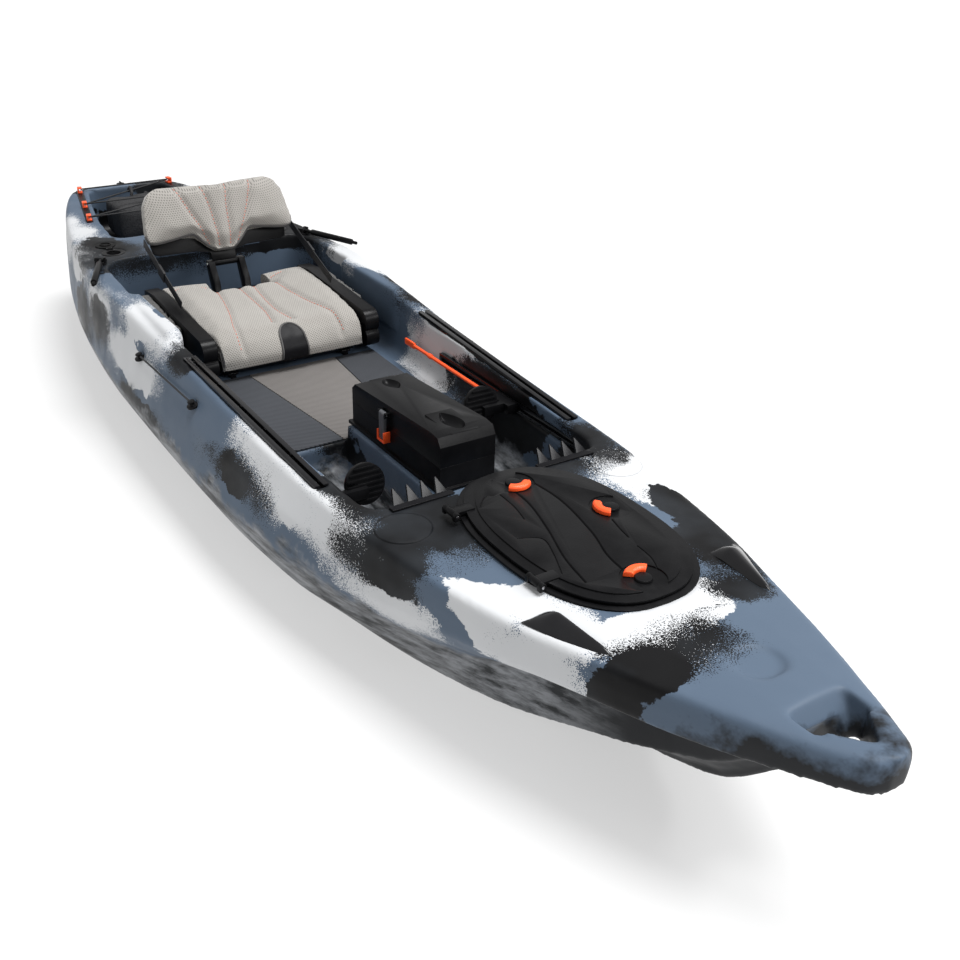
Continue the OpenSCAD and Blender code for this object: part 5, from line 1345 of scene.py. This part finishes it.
def ribbed(name, colour, dark):
    made = material(name, colour, 0.85, 0.0, 0.25)
    n = Nodes(made)
    place = n.stretch(n.place(), (1, 1, 1), (0, 0, math.radians(38)))
    rib = n.math("COSINE", n.math("MULTIPLY", n.axes(place)[0], math.tau / rib_pitch))
    worn = n.noise(n.place(), 9.0, 4.0, 0.6)
    base = n.mix(worn, colour, tuple(c * 0.8 for c in colour))
    # Painted shade: the troughs of the ribs take the darker second colour
    n.colour(n.mix(n.ramp(rib, -0.2, -0.9), base, dark))
    n.bump(rib, 0.6, 0.0012)
    return made


# The second colour of each mat is the painted shade in its grooves
mat_taupe = ribbed("mat_taupe", (0.19, 0.178, 0.17), (0.085, 0.08, 0.077))
mat_slate = ribbed("mat_slate", (0.062, 0.066, 0.075), (0.024, 0.027, 0.032))
moulded("deck_mat_centre", "mat_taupe", mat_taupe, 0.0015)
for side, tag in SIDES:
    moulded(f"deck_mat_{tag}", "mat_slate", mat_slate, 0.0015)


# ---------------------------------------------------------------- rod holders
# A black sleeve through each side of the deck behind the seat, and a rubber
# cap on a hinge that closes it.
for side, tag in SIDES:
    moulded(f"rod_holder_{tag}", "black_plastic", black_plastic, 0.0015)
    moulded(f"rod_cap_{tag}", "seal_rubber", seal_rubber, 0.001)


# ---------------------------------------------------------------- stern
# Two black bars beside the tank well with orange hooks for the shock cord,
# which holds down a black mesh bag.
moulded("lashing_bars", "black_plastic", black_plastic, 0.0012)
moulded("lashing_hooks", "orange_plastic", orange_plastic, 0.0010)
moulded("drain_plug", "black_plastic", black_plastic, 0.0008)
bag_mesh = material("bag_mesh", (0.012, 0.012, 0.013), 0.75, 0.0, 0.3)
n = Nodes(bag_mesh)
place = n.place()
grid = n.cells(place, 240.0)
n.colour(n.mix(n.ramp(grid, 0.1, 0.5), (0.004, 0.004, 0.004), (0.03, 0.03, 0.032)))
n.bump(n.math("ADD", grid, n.math("MULTIPLY", n.noise(place, 18.0, 3.0), 4.0)), 0.6, 0.002)
bag = cushion("gear_bag", "gear_bag_cloth", 0.008, 0.014, (0, 0, -1), [(1, 0, 0), (0, 1, 0)], 0.007)
random.seed(3)
folds = [(random.uniform(-1.72, -1.54), random.uniform(-0.09, 0.09), random.uniform(0, 3.1))
         for k in range(14)]
creased(bag, folds, 1, 0.010, 0.05, 0.009, 1.5, above=0.27)
fit(bag, "hull", "bag_mesh", bag_mesh, "gear_bag")
bag_top, bag_middle, loop = tree_of(bag), -1.627, []
for k in range(21):
    a = math.pi * k / 20
    foot = laid_on(bag_top, (bag_middle + 0.075 * math.cos(a), -0.015, 0.45), (0, 0, 1), 0.003)
    rise = Vector((0, 0.012 * math.sin(a), 0.034 * math.sin(a)))
    loop.append(foot + rise if foot else Vector((bag_middle, 0, 0.39)))
corded("gear_bag_handle", loop, 0.011, webbing, "webbing", "hull")


# ---------------------------------------------------------------- small parts
# Eyes for a paddle cord on each side, handle brackets, the keel wheel on
# its axle, and the steel pins and screws.
moulded("paddle_eyes", "black_plastic", black_plastic, 0.0008)
moulded("handle_brackets", "black_plastic", black_plastic, 0.0010)
wheel_rubber = grained("wheel_rubber", (0.02, 0.02, 0.021), 0.65, 300.0, 0.0008, 0.5, 0.3)
moulded("keel_wheel", "wheel_rubber", wheel_rubber, 0.003, 3)
for node in ("hatch_hinge_pins", "track_screws", "console_hinge_pin", "console_latch_pin", "back_hinge_pin",
             "cap_hinge_pins", "wheel_axle"):
    moulded(node, "steel", steel, 0.0002)


# ---------------------------------------------------------------- studio
# A plain white floor under a soft broad light from above, and a pale sky
# that is brightest overhead.
bpy.ops.mesh.primitive_plane_add(size=400, location=(0, 0, 0))
floor = bpy.context.object
floor.name = "studio_floor"
floor_paint = material("floor_paint", (0.5, 0.5, 0.5), 0.9, 0.0, 0.0)
floor_shader = floor_paint.node_tree.nodes["Principled BSDF"]
floor_shader.inputs["Emission Color"].default_value = (1, 1, 1, 1)
floor_shader.inputs["Emission Strength"].default_value = 0.52
n = Nodes(floor_paint)
n.colour(n.mix(n.noise(n.place(), 2.0, 2.0), (0.32, 0.32, 0.32), (0.34, 0.34, 0.34)))
floor.data.materials.append(floor_paint)
bpy.ops.object.light_add(type="SUN", location=(1, 2, 5))
sun = bpy.context.object
sun.name = "soft_sun"
sun.data.energy = 3.7
sun.data.angle = math.radians(26)
sun.rotation_euler = (math.radians(-15), math.radians(8), 0)
strip_at = Vector((2.6, 1.6, 2.2))
bpy.ops.object.light_add(type="AREA", location=strip_at)
strip_light = bpy.context.object
strip_light.name = "strip_light"
strip_light.data.energy = 60
strip_light.data.shape = "RECTANGLE"
strip_light.data.size, strip_light.data.size_y = 3.5, 0.5
strip_light.rotation_euler = (Vector((0.4, 0, 0.3)) - strip_at).to_track_quat("-Z", "Y").to_euler()
sky = bpy.data.worlds.new("sky")
sky.use_nodes = True
bpy.context.scene.world = sky
tree = sky.node_tree
place = tree.nodes.new("ShaderNodeTexCoord")
axes = tree.nodes.new("ShaderNodeSeparateXYZ")
rise = tree.nodes.new("ShaderNodeMapRange")
tree.links.new(place.outputs["Generated"], axes.inputs[0])
tree.links.new(axes.outputs[2], rise.inputs["Value"])
for key, value in (("From Min", 0.0), ("From Max", 1.0), ("To Min", 0.55), ("To Max", 0.60)):
    rise.inputs[key].default_value = value
tree.links.new(rise.outputs[0], tree.nodes["Background"].inputs["Strength"])
tree.nodes["Background"].inputs["Color"].default_value = (1, 1, 1, 1)
bpy.context.scene.view_settings.view_transform = "Standard"
